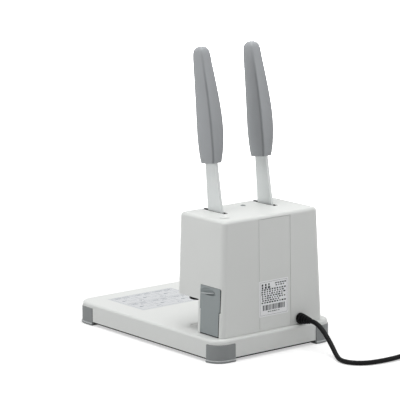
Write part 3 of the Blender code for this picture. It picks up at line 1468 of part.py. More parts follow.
def make_cord():
    coil = coil_points()
    start = Vector(boot_point(BOOT_LENGTH + GAP))
    lead = Vector(boot_point(BOOT_LENGTH + GAP + 2 * CORD_RADIUS))
    toward = (coil[1] - coil[0]).normalized()
    end = coil[0] - toward * GAP
    before = end - toward * 2 * CORD_RADIUS
    route = [lead, *CORD_ROUTE, before]
    run = [start, *smooth_points(route, 5 * CORD_RADIUS), end]
    lead_length = sum((b - a).length for a, b in zip(run, run[1:]))
    coil_length = sum((b - a).length for a, b in zip(coil, coil[1:]))
    print("cord run", round(lead_length, 4), "coil", round(coil_length, 4), "metres")
    print("least gap between turns", round(least_self_gap(coil, 2 * CORD_RADIUS) * 1000, 2), "mm")
    cord = tube("cord_run", run, CORD_RADIUS, 2, black_plastic)
    wound = tube("cord_coil", coil, CORD_RADIUS, 1, black_plastic)
    return cord, wound, coil


def make_cord_tie():
    """A flat band round the coil's turns at one place."""
    swing = COIL_PITCH * COIL_TURNS / COIL_LAYERS
    inner = COIL_MEAN_RADIUS - swing / 2 - CORD_RADIUS - 3 * GAP
    outer = COIL_MEAN_RADIUS + swing / 2 + CORD_RADIUS + 3 * GAP
    low, high = TIE_BAND, COIL_LIFT + 2 * CORD_RADIUS + COIL_PITCH + GAP
    half = TIE_BAND_WIDTH / 2
    turn = Matrix.Translation((*COIL_CENTRE, 0)) @ Matrix.Rotation(radians(TIE_BAND_ANGLE), 4, "Z")
    outside = box_mesh("cord_tie", (inner - TIE_BAND, -half, 0), (outer + TIE_BAND, half, high + TIE_BAND))
    band = add_object("cord_tie", outside, black_plastic)
    inside = box_mesh("cut", (inner, -half - OVERRUN, low), (outer, half + OVERRUN, high))
    hollow = add_object("cut", inside, None)
    for made in (band, hollow):
        made.data.transform(turn)
    return combine(band, hollow, "DIFFERENCE")


def make_plug(coil):
    """A moulded two-pin plug on the cord's end, lying beside the coil."""
    along = coil[-1] - coil[-2]
    along.z = 0
    along.normalize()
    start = coil[-1] + along * GAP
    across = Vector((-along.y, along.x, 0))
    up = Vector((0, 0, 1))
    sections = (
        (0, PLUG_TAIL_WIDTH, PLUG_TAIL_WIDTH), (PLUG_TAIL_SHARE, PLUG_TAIL_WIDTH, PLUG_TAIL_WIDTH),
        (PLUG_FULL_SHARE, PLUG_WIDTH, PLUG_THICKNESS), (1, PLUG_WIDTH, PLUG_THICKNESS),
    )
    rings = []
    for share, width, thickness in sections:
        middle = start + along * share * PLUG_BODY
        outline = rounded_rectangle(-width / 2, width / 2, -thickness / 2, thickness / 2, thickness / 3, 3)
        rings.append([middle + across * x + up * y for x, y in outline])
    plug = add_object("mains_plug", loft_mesh("mains_plug", rings), black_plastic)
    for side in (-1, 1):
        root = start + along * (PLUG_BODY - PIN_WIDTH / 2) + across * side * PIN_SPREAD
        outline = rounded_rectangle(
            -PIN_THICKNESS / 2, PIN_THICKNESS / 2, -PIN_WIDTH / 2, PIN_WIDTH / 2, PIN_THICKNESS / 3, 1,
        )
        rings = [
            [root + along * reach + across * x + up * y for x, y in outline]
            for reach in (0, PIN_WIDTH / 2 + PIN_LENGTH)
        ]
        combine(plug, add_object("pin", loft_mesh("pin", rings), None), "UNION")
    return plug


# Assembly
def build_fixed_pieces():
    make_base()
    make_bottom_plate()
    names = ("foot_front_left", "foot_front_right", "foot_rear_left", "foot_rear_right")
    for name, corner in zip(names, foot_corners()):
        make_foot(name, *corner)
    make_housing()
    make_rear_cover()
    make_head_cover()
    make_frame_plate("frame_plate_left", -1)
    make_frame_plate("frame_plate_right", 1)
    make_cross_plate()
    make_guide_plate()
    make_top_plate()
    make_guide_rods("press", -1)
    make_guide_rods("drill", 1)
    make_axle()
    make_base_tools()
    make_drawer_guide()
    make_control_board()
    make_transformer()
    make_front_lamp()
    make_top_button(
        "top_indicator", INDICATOR_SIDE, INDICATOR_BACK, LAMP_FLANGE, LAMP_PROUD / 2, grey_plastic,
    )
    make_top_button(
        "top_plug", plug_button_side, PLUG_BUTTON_BACK, PLUG_BUTTON_RADIUS, PLUG_BUTTON_PROUD, white_plastic,
    )


def build_lever(word, side):
    axis = joint_axis(word + "_lever_axis", (0, PIVOT_BACK, pivot_height))
    arm = make_lever_arm(word + "_lever_arm", side)
    grip = make_grip(word + "_lever_grip", side)
    gear = make_sector_gear(word + "_sector_gear", side)
    carry(axis, arm, grip, gear)
    make_lever_spring(word + "_lever_spring", side)


def build_drill_unit():
    axis = joint_axis("drill_slide", at_station(1, carriage_bottom))
    rack, low, high = make_rack("drill_rack", 1)
    carriage = make_carriage("drill_carriage", 1, low, high)
    finish_drill_carriage(carriage)
    spindle, bearing, bit = make_spindle()
    gear, pinion, motor = make_drill_drive()
    carry(axis, rack, carriage, bearing, motor)
    spin = joint_axis("spindle_axis", at_station(1, carriage_bottom))
    carry(spin, spindle, bit, gear)
    motor_spin = joint_axis("motor_axis", (*motor_place(), fine_gear_bottom))
    carry(motor_spin, pinion)
    foot, bottom = make_drill_foot()
    carry(joint_axis("foot_slide", at_station(1, bottom)), foot)
    travel = bottom - base_top - GAP
    print("stroke", round(stroke, 5), "foot travel", round(travel, 5), "motor", motor_place())


def build_press_unit():
    axis = joint_axis("press_slide", at_station(-1, carriage_bottom))
    rack, low, high = make_rack("press_rack", -1)
    carriage = make_carriage("press_carriage", -1, low, high)
    carry(axis, rack, carriage, *make_press_tools())


def build_small_movers():
    drawer = make_drawer()
    carry(joint_axis("drawer_slide", (bin_inner, DRAWER_FRONT, housing_bottom)), drawer)
    _, rocker, pivot = make_switch()
    carry(joint_axis("switch_axis", pivot), rocker)


def build_cord():
    make_strain_relief()
    _, _, coil = make_cord()
    make_cord_tie()
    make_plug(coil)


build_fixed_pieces()
build_lever("drill", 1)
build_lever("press", -1)
build_drill_unit()
build_press_unit()
build_small_movers()
build_cord()
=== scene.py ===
"""The look of a two-lever desk binding machine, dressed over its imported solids."""
from math import cos, pi, radians, sin, sqrt

import bmesh
import bpy
from bpy.props import FloatProperty, FloatVectorProperty, PointerProperty
from mathutils import Matrix, Vector


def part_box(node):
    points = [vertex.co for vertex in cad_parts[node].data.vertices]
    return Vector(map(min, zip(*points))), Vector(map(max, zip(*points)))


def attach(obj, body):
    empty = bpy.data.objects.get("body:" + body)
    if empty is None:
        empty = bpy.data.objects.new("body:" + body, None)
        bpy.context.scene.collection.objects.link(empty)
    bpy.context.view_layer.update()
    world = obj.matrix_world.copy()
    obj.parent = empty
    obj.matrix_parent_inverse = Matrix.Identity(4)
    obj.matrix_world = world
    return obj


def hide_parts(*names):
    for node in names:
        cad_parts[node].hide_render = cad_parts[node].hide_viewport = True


bl_info = {
    "name": "Desk Binding Machine",
    "version": (1, 0, 0),
    "blender": (4, 5, 0),
    "location": "View3D > Sidebar > Machine",
    "description": "Builds the shells, levers, inner works and cord of a two-lever binding machine",
    "category": "Object",
}

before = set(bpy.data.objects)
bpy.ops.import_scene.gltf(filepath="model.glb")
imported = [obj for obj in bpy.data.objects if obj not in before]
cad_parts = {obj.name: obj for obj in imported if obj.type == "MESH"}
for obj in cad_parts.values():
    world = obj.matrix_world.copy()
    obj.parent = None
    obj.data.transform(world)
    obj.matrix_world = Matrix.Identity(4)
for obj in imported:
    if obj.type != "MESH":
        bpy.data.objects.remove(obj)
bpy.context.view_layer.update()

# Places read from the frame
BASE_LOW, BASE_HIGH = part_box("base_shell")
BASE_TOP = BASE_HIGH.z
PLATE_LOW, PLATE_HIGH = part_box("base_bottom_plate")
HOUSING_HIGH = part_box("housing_shell")[1]
DRAWER_LOW, DRAWER_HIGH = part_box("chip_drawer")
PIVOT = sum(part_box("lever_axle"), Vector()) / 2
LEVER_PLANE = sum(corner.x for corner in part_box("drill_lever_grip")) / 2


def colour_property(name, description, default):
    return FloatVectorProperty(
        name=name, description=description, default=default, size=3, min=0.0, max=1.0, subtype="COLOR",
    )


def length_property(name, description, default):
    return FloatProperty(
        name=name, description=description, default=default, min=0.0, unit="LENGTH", precision=4,
    )


class MachineFinishes(bpy.types.PropertyGroup):
    """Colours of the machine's surfaces, as linear values."""

    shell: colour_property("Shell", "White moulded shells", (0.715, 0.73, 0.715))
    grip: colour_property("Grip", "Soft grey lever grips", (0.375, 0.39, 0.405))
    foot: colour_property("Foot", "Grey rubber corner feet", (0.25, 0.262, 0.265))
    lever: colour_property("Lever", "Light enamel of the lever bars", (0.72, 0.75, 0.745))
    drawer: colour_property("Drawer", "Grey moulded chip drawer", (0.265, 0.295, 0.30))
    cord: colour_property("Cord", "Black cord and boot", (0.0045, 0.0045, 0.005))
    label: colour_property("Label", "Pale foil of the rear label", (0.88, 0.89, 0.90))
    print_ink: colour_property("Print", "Ink of the printed marks", (0.035, 0.038, 0.045))
    panel_ink: colour_property("Panel print", "Faint ink of the panel on the base", (0.22, 0.24, 0.28))
    steel: colour_property("Steel", "Plated steel of the inner works", (0.62, 0.63, 0.64))
    brass: colour_property("Brass", "Dies and fine gears", (0.72, 0.52, 0.22))


class MachineDetails(bpy.types.PropertyGroup):
    """Sizes of the edges, marks and fasteners."""

    edge: length_property("Edge", "Radius broken on the moulded edges", 0.0004)
    label_width: length_property("Label width", "Width of the rear label", 0.0545)
    label_height: length_property("Label height", "Height of the rear label", 0.0520)
    panel_width: length_property("Panel width", "Width of the printed panel on the base", 0.1180)
    panel_depth: length_property("Panel depth", "Depth of the printed panel on the base", 0.0860)
    film: length_property("Film", "Thickness of labels and print", 0.00012)
    screw_radius: length_property("Screw head", "Radius of the cross-head screws", 0.0030)


# Nodes
def feed(tree, node, inputs):
    """Gives each named or numbered input of a node a value, or a link from a socket."""
    for key, value in dict(inputs).items():
        if isinstance(value, bpy.types.NodeSocket):
            tree.links.new(value, node.inputs[key])
        else:
            node.inputs[key].default_value = value
    return node


def add_node(tree, kind, inputs=(), **settings):
    node = tree.nodes.new(kind)
    for name, value in settings.items():
        setattr(node, name, value)
    return feed(tree, node, inputs)


def math_node(tree, operation, *values):
    return add_node(tree, "ShaderNodeMath", enumerate(values), operation=operation).outputs[0]


def vector_node(tree, *values):
    return add_node(tree, "ShaderNodeCombineXYZ", enumerate(values)).outputs[0]


def noise_node(tree, vector, scale, detail):
    inputs = {"Vector": vector, "Scale": scale, "Detail": detail}
    return add_node(tree, "ShaderNodeTexNoise", inputs).outputs["Fac"]


def centred_noise(tree, vector, scale, detail):
    """Noise that swings about nought."""
    return math_node(tree, "SUBTRACT", noise_node(tree, vector, scale, detail), 0.5)


def scaled_vector(tree, vector, factor):
    return add_node(tree, "ShaderNodeVectorMath", {0: vector, "Scale": factor}, operation="SCALE").outputs[0]


def socket_kind(default):
    """The kind of socket that takes a default value, or the kind itself where a word stands for it."""
    if isinstance(default, str):
        return default
    if isinstance(default, tuple):
        return "Color" if len(default) == 4 else "Vector"
    return "Int" if isinstance(default, int) else "Float"


def new_tree(name, kind, inputs, outputs):
    """A node group with named sockets; returns it, its inputs' sockets and its end."""
    tree = bpy.data.node_groups.new(name, kind)
    for in_out, sockets in (("INPUT", inputs), ("OUTPUT", outputs)):
        for label, default in sockets.items():
            socket_type = "NodeSocket" + socket_kind(default)
            socket = tree.interface.new_socket(name=label, in_out=in_out, socket_type=socket_type)
            if not isinstance(default, str):
                socket.default_value = default
    return tree, tree.nodes.new("NodeGroupInput").outputs, tree.nodes.new("NodeGroupOutput")


# Shader node groups
PLAIN_GREY = (0.8, 0.8, 0.8, 1.0)
DUST_GREY = (0.62, 0.60, 0.57, 1.0)
MARKS_OUTPUTS = {"Colour": "Color", "Roughness": "Float"}
SURFACE_OUTPUTS = {**MARKS_OUTPUTS, "Height": "Float"}
# How a metal's fine lines are stretched
ALONG_Z, ACROSS_Z, EVEN = (0.05, 0.05, 1.0), (1.0, 1.0, 0.04), (1.0, 1.0, 1.0)
# Scale and detail of each noise
MOTTLE_NOISE = (22.0, 2.0)
GLOSS_NOISE = (60.0, 3.0)
STAIN_NOISE = (45.0, 4.0)
DUST_NOISE = (35.0, 5.0)
RUB_NOISE = (14.0, 3.0)
GRAIN_DETAIL = 3.0
LINE_DETAIL = 2.0
# How far stains change a metal's shade, and its fine lines its gloss
STAIN_SHARE = 0.16
LINE_GLOSS = 0.18


def build_moulded_surface():
    """Spark-textured plastic: fine grain, slow mottle of the colour and uneven gloss."""
    tree, ask, end = new_tree("moulded_surface", "ShaderNodeTree", {
        "Vector": "Vector", "Colour": PLAIN_GREY, "Mottle": 0.02, "Grain Scale": 1800.0,
        "Roughness": 0.45, "Gloss Variation": 0.08, "Shade": 0.0,
    }, SURFACE_OUTPUTS)
    cloud = centred_noise(tree, ask["Vector"], *MOTTLE_NOISE)
    mottle = math_node(tree, "MULTIPLY_ADD", cloud, ask["Mottle"], 1.0)
    patch = centred_noise(tree, ask["Vector"], *GLOSS_NOISE)
    feed(tree, end, {
        "Colour": scaled_vector(tree, ask["Colour"], math_node(tree, "SUBTRACT", mottle, ask["Shade"])),
        "Roughness": math_node(tree, "MULTIPLY_ADD", patch, ask["Gloss Variation"], ask["Roughness"]),
        "Height": noise_node(tree, ask["Vector"], ask["Grain Scale"], GRAIN_DETAIL),
    })
    return tree


def build_brushed_surface():
    """Metal with fine lines along one direction and slight stains."""
    tree, ask, end = new_tree("brushed_surface", "ShaderNodeTree", {
        "Vector": "Vector", "Colour": PLAIN_GREY, "Stretch": ACROSS_Z, "Line Scale": 1500.0,
        "Roughness": 0.3,
    }, SURFACE_OUTPUTS)
    inputs = {0: ask["Vector"], 1: ask["Stretch"]}
    stretched = add_node(tree, "ShaderNodeVectorMath", inputs, operation="MULTIPLY").outputs[0]
    lines = noise_node(tree, stretched, ask["Line Scale"], LINE_DETAIL)
    stain = centred_noise(tree, ask["Vector"], *STAIN_NOISE)
    shade = math_node(tree, "MULTIPLY_ADD", stain, STAIN_SHARE, 1.0)
    feed(tree, end, {
        "Colour": scaled_vector(tree, ask["Colour"], shade),
        "Roughness": math_node(tree, "MULTIPLY_ADD", lines, LINE_GLOSS, ask["Roughness"]),
        "Height": lines,
    })
    return tree


def build_handling_marks():
    """Dust that settles on upward faces, and dull rubbed patches."""
    tree, ask, end = new_tree("handling_marks", "ShaderNodeTree", {
        "Vector": "Vector", "Colour": PLAIN_GREY, "Roughness": 0.4, "Dust Colour": DUST_GREY,
        "Dust": 0.05, "Rubbing": 0.05,
    }, MARKS_OUTPUTS)
    facing = add_node(tree, "ShaderNodeNewGeometry").outputs["Normal"]
    upward = math_node(tree, "MAXIMUM", add_node(tree, "ShaderNodeSeparateXYZ", {0: facing}).outputs["Z"], 0.0)
    cloud = noise_node(tree, ask["Vector"], *DUST_NOISE)
    amount = math_node(tree, "MULTIPLY", math_node(tree, "MULTIPLY", upward, cloud), ask["Dust"])
    colours = {"Factor": amount, "A": ask["Colour"], "B": ask["Dust Colour"]}
    marked = math_node(tree, "MULTIPLY", noise_node(tree, ask["Vector"], *RUB_NOISE), ask["Rubbing"])
    feed(tree, end, {
        "Colour": add_node(tree, "ShaderNodeMix", colours, data_type="RGBA").outputs["Result"],
        "Roughness": math_node(tree, "ADD", ask["Roughness"], marked),
    })
    return tree


# Finishes
MOULDED, BRUSHED = "moulded_surface", "brushed_surface"
SURFACE_INPUTS = {
    MOULDED: ("Mottle", "Grain Scale", "Roughness", "Gloss Variation"),
    BRUSHED: ("Stretch", "Line Scale", "Roughness"),
}
METAL = {"Metallic": 1.0}
GRAIN_DEPTH = 0.0001
# Surface, colour or its property, the surface's inputs, bump, dust, other inputs of the shader
FINISHES = {
    "white_shell": (MOULDED, "shell", (0.02, 1500.0, 0.42, 0.06), 0.10, 0.03, {}),
    "grip_rubber": (MOULDED, "grip", (0.05, 1100.0, 0.58, 0.12), 0.22, 0.04, {}),
    "foot_rubber": (MOULDED, "foot", (0.06, 900.0, 0.66, 0.10), 0.28, 0.10, {}),
    "drawer_plastic": (MOULDED, "drawer", (0.04, 1400.0, 0.44, 0.08), 0.14, 0.05, {}),
    # Paler than the drawer: a painted highlight where the finger ledge's top catches the light
    "ledge_highlight": (MOULDED, (0.43, 0.455, 0.46), (0.04, 1400.0, 0.36, 0.08), 0.10, 0.02, {}),
    "black_moulding": (MOULDED, "cord", (0.10, 1200.0, 0.50, 0.12), 0.12, 0.0, {"Specular IOR Level": 0.12}),
    "lever_enamel": (MOULDED, "lever", (0.03, 420.0, 0.30, 0.06), 0.16, 0.03, {"Coat Weight": 0.15}),
    "label_foil": (MOULDED, "label", (0.02, 700.0, 0.34, 0.05), 0.05, 0.0, {}),
    "label_ink": (MOULDED, "print_ink", (0.20, 2500.0, 0.50, 0.05), 0.05, 0.0, {}),
    "panel_film": (MOULDED, (0.60, 0.615, 0.63), (0.03, 1500.0, 0.38, 0.05), 0.05, 0.02, {}),
    "panel_ink": (MOULDED, "panel_ink", (0.12, 2500.0, 0.50, 0.05), 0.05, 0.0, {}),
    "dark_enamel": (
        MOULDED, (0.025, 0.025, 0.027), (0.12, 1000.0, 0.45, 0.12), 0.20, 0.02, {"Specular IOR Level": 0.2},
    ),
    "natural_nylon": (MOULDED, (0.74, 0.745, 0.73), (0.06, 1300.0, 0.42, 0.10), 0.14, 0.04, {}),
    "solder_mask": (MOULDED, (0.02, 0.13, 0.06), (0.30, 260.0, 0.32, 0.10), 0.20, 0.04, {"Coat Weight": 0.3}),
    "clear_red_lens": (MOULDED, (0.42, 0.02, 0.012), (0.10, 300.0, 0.12, 0.05), 0.05, 0.02, {"Coat Weight": 0.5}),
    "plated_steel": (BRUSHED, "steel", (ACROSS_Z, 1400.0, 0.24), 0.12, 0.02, METAL),
    "ground_steel": (BRUSHED, (0.70, 0.70, 0.71), (ALONG_Z, 2200.0, 0.12), 0.06, 0.01, METAL),
    "cast_alloy": (BRUSHED, (0.60, 0.61, 0.62), (EVEN, 700.0, 0.34), 0.40, 0.03, METAL),
    "turned_brass": (BRUSHED, "brass", (ALONG_Z, 1800.0, 0.16), 0.10, 0.02, METAL),
}
# The frame's slot for each finish of a softened solid
SLOTS = {
    "white_shell": "white_plastic", "foot_rubber": "grey_rubber", "drawer_plastic": "grey_plastic",
    "black_moulding": "black_plastic", "lever_enamel": "painted_steel", "dark_enamel": "dark_steel",
    "natural_nylon": "nylon", "clear_red_lens": "red_lens", "ground_steel": "bright_steel",
    "turned_brass": "brass",
}
# Painted shade in a darker line along a grip's edges, and a painted highlight in a paler line on a foot's rim
RIDGE_SHADE, RIM_LIGHT = "ridge_shade", "rim_light"
PAINTED_LIGHT_LINES = {"grip_rubber": (RIDGE_SHADE, 0.42), "foot_rubber": (RIM_LIGHT, -0.80)}


def placed_group(tree, name, inputs):
    return add_node(tree, "ShaderNodeGroup", inputs, node_tree=node_tree(name))


def material(name):
    """The named finish: a Principled material whose colour, gloss and grain come from a surface group."""
    if name in bpy.data.materials:
        return bpy.data.materials[name]
    group, colour, values, bump, dust, other = FINISHES[name]
    if isinstance(colour, str):
        colour = getattr(bpy.context.scene.machine_finishes, colour)
    made = bpy.data.materials.new(name)
    made.use_nodes = True
    tree = made.node_tree
    place = add_node(tree, "ShaderNodeTexCoord").outputs["Object"]
    inputs = {"Vector": place, "Colour": (*colour, 1.0), **dict(zip(SURFACE_INPUTS[group], values))}
    # A mesh attribute paints shade into the colour through the Shade input, or a highlight where its amount is
    # below nought
    if name in PAINTED_LIGHT_LINES:
        attribute, amount = PAINTED_LIGHT_LINES[name]
        line = add_node(tree, "ShaderNodeAttribute", attribute_name=attribute).outputs["Fac"]
        inputs["Shade"] = math_node(tree, "MULTIPLY", line, amount)
    surface = placed_group(tree, group, inputs).outputs
    marks = placed_group(tree, "handling_marks", {
        "Vector": place, "Colour": surface["Colour"], "Roughness": surface["Roughness"], "Dust": dust,
    }).outputs
    relief = add_node(tree, "ShaderNodeBump", {
        "Strength": bump, "Distance": GRAIN_DEPTH, "Height": surface["Height"],
    }).outputs["Normal"]
    feed(tree, tree.nodes["Principled BSDF"], {
        "Base Color": marks["Colour"], "Roughness": marks["Roughness"], "Normal": relief, **other,
    })
    return made


# Mesh helpers
WELD = 0.000002
FLAT_REACH = 0.0001
FLAT_ANGLE = 0.4
EDGE_ANGLE = 32.0
# Angles above which the edges of round pieces stay sharp
GRIP_ANGLE = 40.0
ROUND_ANGLE = 50.0
PLUG_ANGLE = 60.0
BEVEL_SEGMENTS = 2
# Steps round a quarter corner
COARSE, USUAL, FINE = 2, 6, 7


def coated(piece, finish):
    """Gives a piece the named finish in place of its own materials."""
    piece.data.materials.clear()
    piece.data.materials.append(material(finish))
    return piece


def new_object(name, data, finish=None):
    made = bpy.data.objects.new(name, data)
    bpy.context.scene.collection.objects.link(made)
    return coated(made, finish) if finish else made


def mesh_from(shape, name):
    mesh = bpy.data.meshes.new(name)
    shape.to_mesh(mesh)
    shape.free()
    return mesh


def modified(piece, kind, **settings):
    """Adds a modifier with its settings to a piece."""
    modifier = piece.modifiers.new(kind.lower(), kind)
    for name, value in settings.items():
        setattr(modifier, name, value)
    return modifier


def settle(piece, name):
    """Turns a piece and its modifiers into a plain mesh whose place is in its vertices."""
    bpy.context.view_layer.update()
    mesh = bpy.data.meshes.new_from_object(piece.evaluated_get(bpy.context.evaluated_depsgraph_get()))
    mesh.transform(piece.matrix_world)
    bpy.data.objects.remove(piece, do_unlink=True)
    return new_object(name, mesh)


def smooth_by_angle(piece, degrees=EDGE_ANGLE):
    piece.data.shade_smooth()
    piece.data.set_sharp_from_angle(angle=radians(degrees))
    return piece


def welded(node):
    """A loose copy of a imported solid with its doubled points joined."""
    shape = bmesh.new()
    shape.from_mesh(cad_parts[node].data)
    bmesh.ops.remove_doubles(shape, verts=shape.verts, dist=WELD)
    return shape


def raw_piece(shape, name, reshape):
    """Makes an object of a loose shape, its points moved where reshape says."""
    if reshape:
        for vert in shape.verts:
            vert.co = reshape(vert.co)
    return new_object(name + "_raw", mesh_from(shape, name))


def softened(node, name, finish, share=1.0, body="stand", reshape=None):
    """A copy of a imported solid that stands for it, its edges broken by a share of the usual radius."""
    shape = welded(node)
    bmesh.ops.dissolve_limit(shape, angle_limit=radians(FLAT_ANGLE), verts=shape.verts, edges=shape.edges)
    piece = raw_piece(shape, name, reshape)
    modified(
        piece, "BEVEL", width=bpy.context.scene.machine_details.edge * share, segments=BEVEL_SEGMENTS,
        limit_method="ANGLE", angle_limit=radians(EDGE_ANGLE), use_clamp_overlap=True,
    )
    modified(piece, "WEIGHTED_NORMAL", keep_sharp=True)
    piece.data.shade_smooth()
    return stand_for(coated(settle(piece, name), finish), body, SLOTS[finish], node)


def black_strip(node, name, body, chosen, thickness, side, reshape=None):
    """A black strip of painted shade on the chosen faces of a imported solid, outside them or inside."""
    shape = welded(node)
    spare = [face for face in shape.faces if not chosen(face, face.calc_center_median())]
    bmesh.ops.delete(shape, geom=spare, context="FACES")
    strip = raw_piece(shape, name, reshape)
    modified(strip, "SOLIDIFY", thickness=thickness, offset=side, use_even_offset=True)
    return stand_for(coated(settle(strip, name), "black_moulding"), body, "black_plastic")


def stand_for(piece, body, slot, *nodes):
    """Rides a finished piece on its body and hides the solids that it stands for."""
    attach(piece, body)
    if nodes:
        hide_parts(*nodes)
    return piece


def dress(finish, *nodes):
    """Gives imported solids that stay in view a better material."""
    for node in nodes:
        coated(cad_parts[node], finish)


def round_angles(count):
    return [2 * pi * i / count for i in range(count)]


def rounded_outline(width, depth, radius, steps=USUAL):
    """A rounded rectangle about the origin, from its right rear corner, counterclockwise."""
    points = []
    for x_side, y_side, first in ((1, 1, 0), (-1, 1, 90), (-1, -1, 180), (1, -1, 270)):
        centre_x = x_side * (width / 2 - radius)
        centre_y = y_side * (depth / 2 - radius)
        for i in range(steps + 1):
            angle = radians(first + 90 * i / steps)
            points.append((centre_x + radius * cos(angle), centre_y + radius * sin(angle)))
    return points


def loft(name, rings, finish=None, closed=False):
    """A skin over rings of equal count, capped unless the rings close on themselves."""
    shape = bmesh.new()
    loops = [[shape.verts.new(point) for point in ring] for ring in rings]
    pairs = list(zip(loops, loops[1:]))
    if closed:
        pairs.append((loops[-1], loops[0]))
    for low, high in pairs:
        for i in range(len(low)):
            j = (i + 1) % len(low)
            shape.faces.new((low[i], low[j], high[j], high[i]))
    if not closed:
        shape.faces.new(list(reversed(loops[0])))
        shape.faces.new(loops[-1])
    bmesh.ops.recalc_face_normals(shape, faces=shape.faces)
    return new_object(name, mesh_from(shape, name), finish)


def slab(name, outline, heights, finish=None, place=Matrix()):
    """A flat shape with upright sides between two heights, laid on a place."""
    made = loft(name, [[(x, y, z) for x, y in outline] for z in heights], finish)
    made.data.transform(place)
    return made


def join_pieces(pieces, name):
    """Joins separate meshes into one piece, each with its own material."""
    shape = bmesh.new()
    finishes = []
    for piece in pieces:
        before = len(shape.faces)
        shape.from_mesh(piece.data)
        shape.faces.ensure_lookup_table()
        for face in shape.faces[before:]:
            face.material_index += len(finishes)
        finishes += list(piece.data.materials)
        bpy.data.objects.remove(piece, do_unlink=True)
    mesh = mesh_from(shape, name)
    for finish in finishes:
        mesh.materials.append(finish)
    return new_object(name, mesh)


# Geometry node trees
# Numbers of the random value's float sockets
RANDOM_LOW, RANDOM_HIGH, RANDOM_VALUE = 2, 3, 1


def new_geometry_tree(name, inputs):
    return new_tree(name, "GeometryNodeTree", {**inputs, "Finish": "Material"}, {"Mesh": "Geometry"})


def finish_tree(tree, ask, end, points, instance, **inputs):
    """Real copies of an instance on points, with one material, as the tree's result."""
    place = add_node(tree, "GeometryNodeInstanceOnPoints", {"Points": points, "Instance": instance, **inputs})
    real = add_node(tree, "GeometryNodeRealizeInstances", {0: place.outputs[0]})
    coat = add_node(tree, "GeometryNodeSetMaterial", {"Geometry": real.outputs[0], "Material": ask["Finish"]})
    feed(tree, end, {"Mesh": coat.outputs["Geometry"]})
    return tree


def grid_points(tree, columns, rows, width, depth):
    sizes = {"Size X": width, "Size Y": depth, "Vertices X": columns, "Vertices Y": rows}
    grid = add_node(tree, "GeometryNodeMeshGrid", sizes)
    return add_node(tree, "GeometryNodeMeshToPoints", {"Mesh": grid.outputs["Mesh"]}).outputs[0]


def build_mark_grid():
    """Rows and columns of thin printed bars, their lengths uneven by a seeded share."""
    tree, ask, end = new_geometry_tree("mark_grid", {
        "Columns": 3, "Rows": 3, "Column Step": 0.01, "Row Step": 0.005, "Length": 0.008,
        "Height": 0.0005, "Thickness": 0.00005, "Spread": 0.0, "Seed": 1,
    })
    width, depth = (
        math_node(tree, "MULTIPLY", math_node(tree, "SUBTRACT", ask[count], 1), ask[step])
        for count, step in (("Columns", "Column Step"), ("Rows", "Row Step"))
    )
    points = grid_points(tree, ask["Columns"], ask["Rows"], width, depth)
    size = vector_node(tree, ask["Length"], ask["Height"], ask["Thickness"])
    bar = add_node(tree, "GeometryNodeMeshCube", {"Size": size})
    uneven = add_node(tree, "FunctionNodeRandomValue", {
        RANDOM_LOW: math_node(tree, "SUBTRACT", 1.0, ask["Spread"]), RANDOM_HIGH: 1.0, "Seed": ask["Seed"],
    }, data_type="FLOAT")
    scale = vector_node(tree, uneven.outputs[RANDOM_VALUE], 1.0, 1.0)
    return finish_tree(tree, ask, end, points, bar.outputs["Mesh"], Scale=scale)


def build_rib_set():
    """Rings one behind another, from a first radius to a last one."""
    tree, ask, end = new_geometry_tree("rib_set", {
        "Count": 5, "Step": 0.005, "First Radius": 0.007, "Last Radius": 0.005, "Width": 0.003,
        "Draft": 0.94, "Sides": 48,
    })
    offset = vector_node(tree, 0.0, 0.0, ask["Step"])
    line = add_node(tree, "GeometryNodeMeshLine", {"Count": ask["Count"], "Offset": offset})
    ring = add_node(tree, "GeometryNodeMeshCone", {
        "Vertices": ask["Sides"], "Radius Top": ask["Draft"], "Radius Bottom": 1.0, "Depth": ask["Width"],
    })
    index = add_node(tree, "GeometryNodeInputIndex").outputs[0]
    share = math_node(tree, "DIVIDE", index, math_node(tree, "SUBTRACT", ask["Count"], 1))
    change = math_node(tree, "SUBTRACT", ask["Last Radius"], ask["First Radius"])
    radius = math_node(tree, "ADD", ask["First Radius"], math_node(tree, "MULTIPLY", share, change))
    scale = vector_node(tree, radius, radius, 1.0)
    return finish_tree(tree, ask, end, line.outputs["Mesh"], ring.outputs["Mesh"], Scale=scale)


def build_flute_ring():
    """Upright bars evenly round a circle, as on a fluted or knurled collar."""
    tree, ask, end = new_geometry_tree("flute_ring", {
        "Count": 24, "Radius": 0.007, "Bar Width": 0.0006, "Bar Depth": 0.0006, "Bar Height": 0.008,
    })
    circle = add_node(tree, "GeometryNodeMeshCircle", {"Vertices": ask["Count"], "Radius": ask["Radius"]})
    size = vector_node(tree, ask["Bar Depth"], ask["Bar Width"], ask["Bar Height"])
    bar = add_node(tree, "GeometryNodeMeshCube", {"Size": size})
    index = add_node(tree, "GeometryNodeInputIndex").outputs[0]
    turn = math_node(tree, "MULTIPLY", math_node(tree, "DIVIDE", index, ask["Count"]), 2 * pi)
    rotation = vector_node(tree, 0.0, 0.0, turn)
    return finish_tree(tree, ask, end, circle.outputs["Mesh"], bar.outputs["Mesh"], Rotation=rotation)


def build_fastener_set():
    """The same fastener at each point of a grid."""
    tree, ask, end = new_geometry_tree("fastener_set", {
        "Columns": 2, "Rows": 2, "Width": 0.1, "Depth": 0.1, "Fastener": "Object",
    })
    points = grid_points(tree, ask["Columns"], ask["Rows"], ask["Width"], ask["Depth"])
    source = add_node(tree, "GeometryNodeObjectInfo", {"Object": ask["Fastener"]})
    return finish_tree(tree, ask, end, points, source.outputs["Geometry"])


TREE_BUILDERS = {
    "moulded_surface": build_moulded_surface,
    "brushed_surface": build_brushed_surface,
    "handling_marks": build_handling_marks,
    "mark_grid": build_mark_grid,
    "rib_set": build_rib_set,
    "flute_ring": build_flute_ring,
    "fastener_set": build_fastener_set,
}


def node_tree(name):
    """The named node group, built the first time it is asked for."""
    return bpy.data.node_groups.get(name) or TREE_BUILDERS[name]()


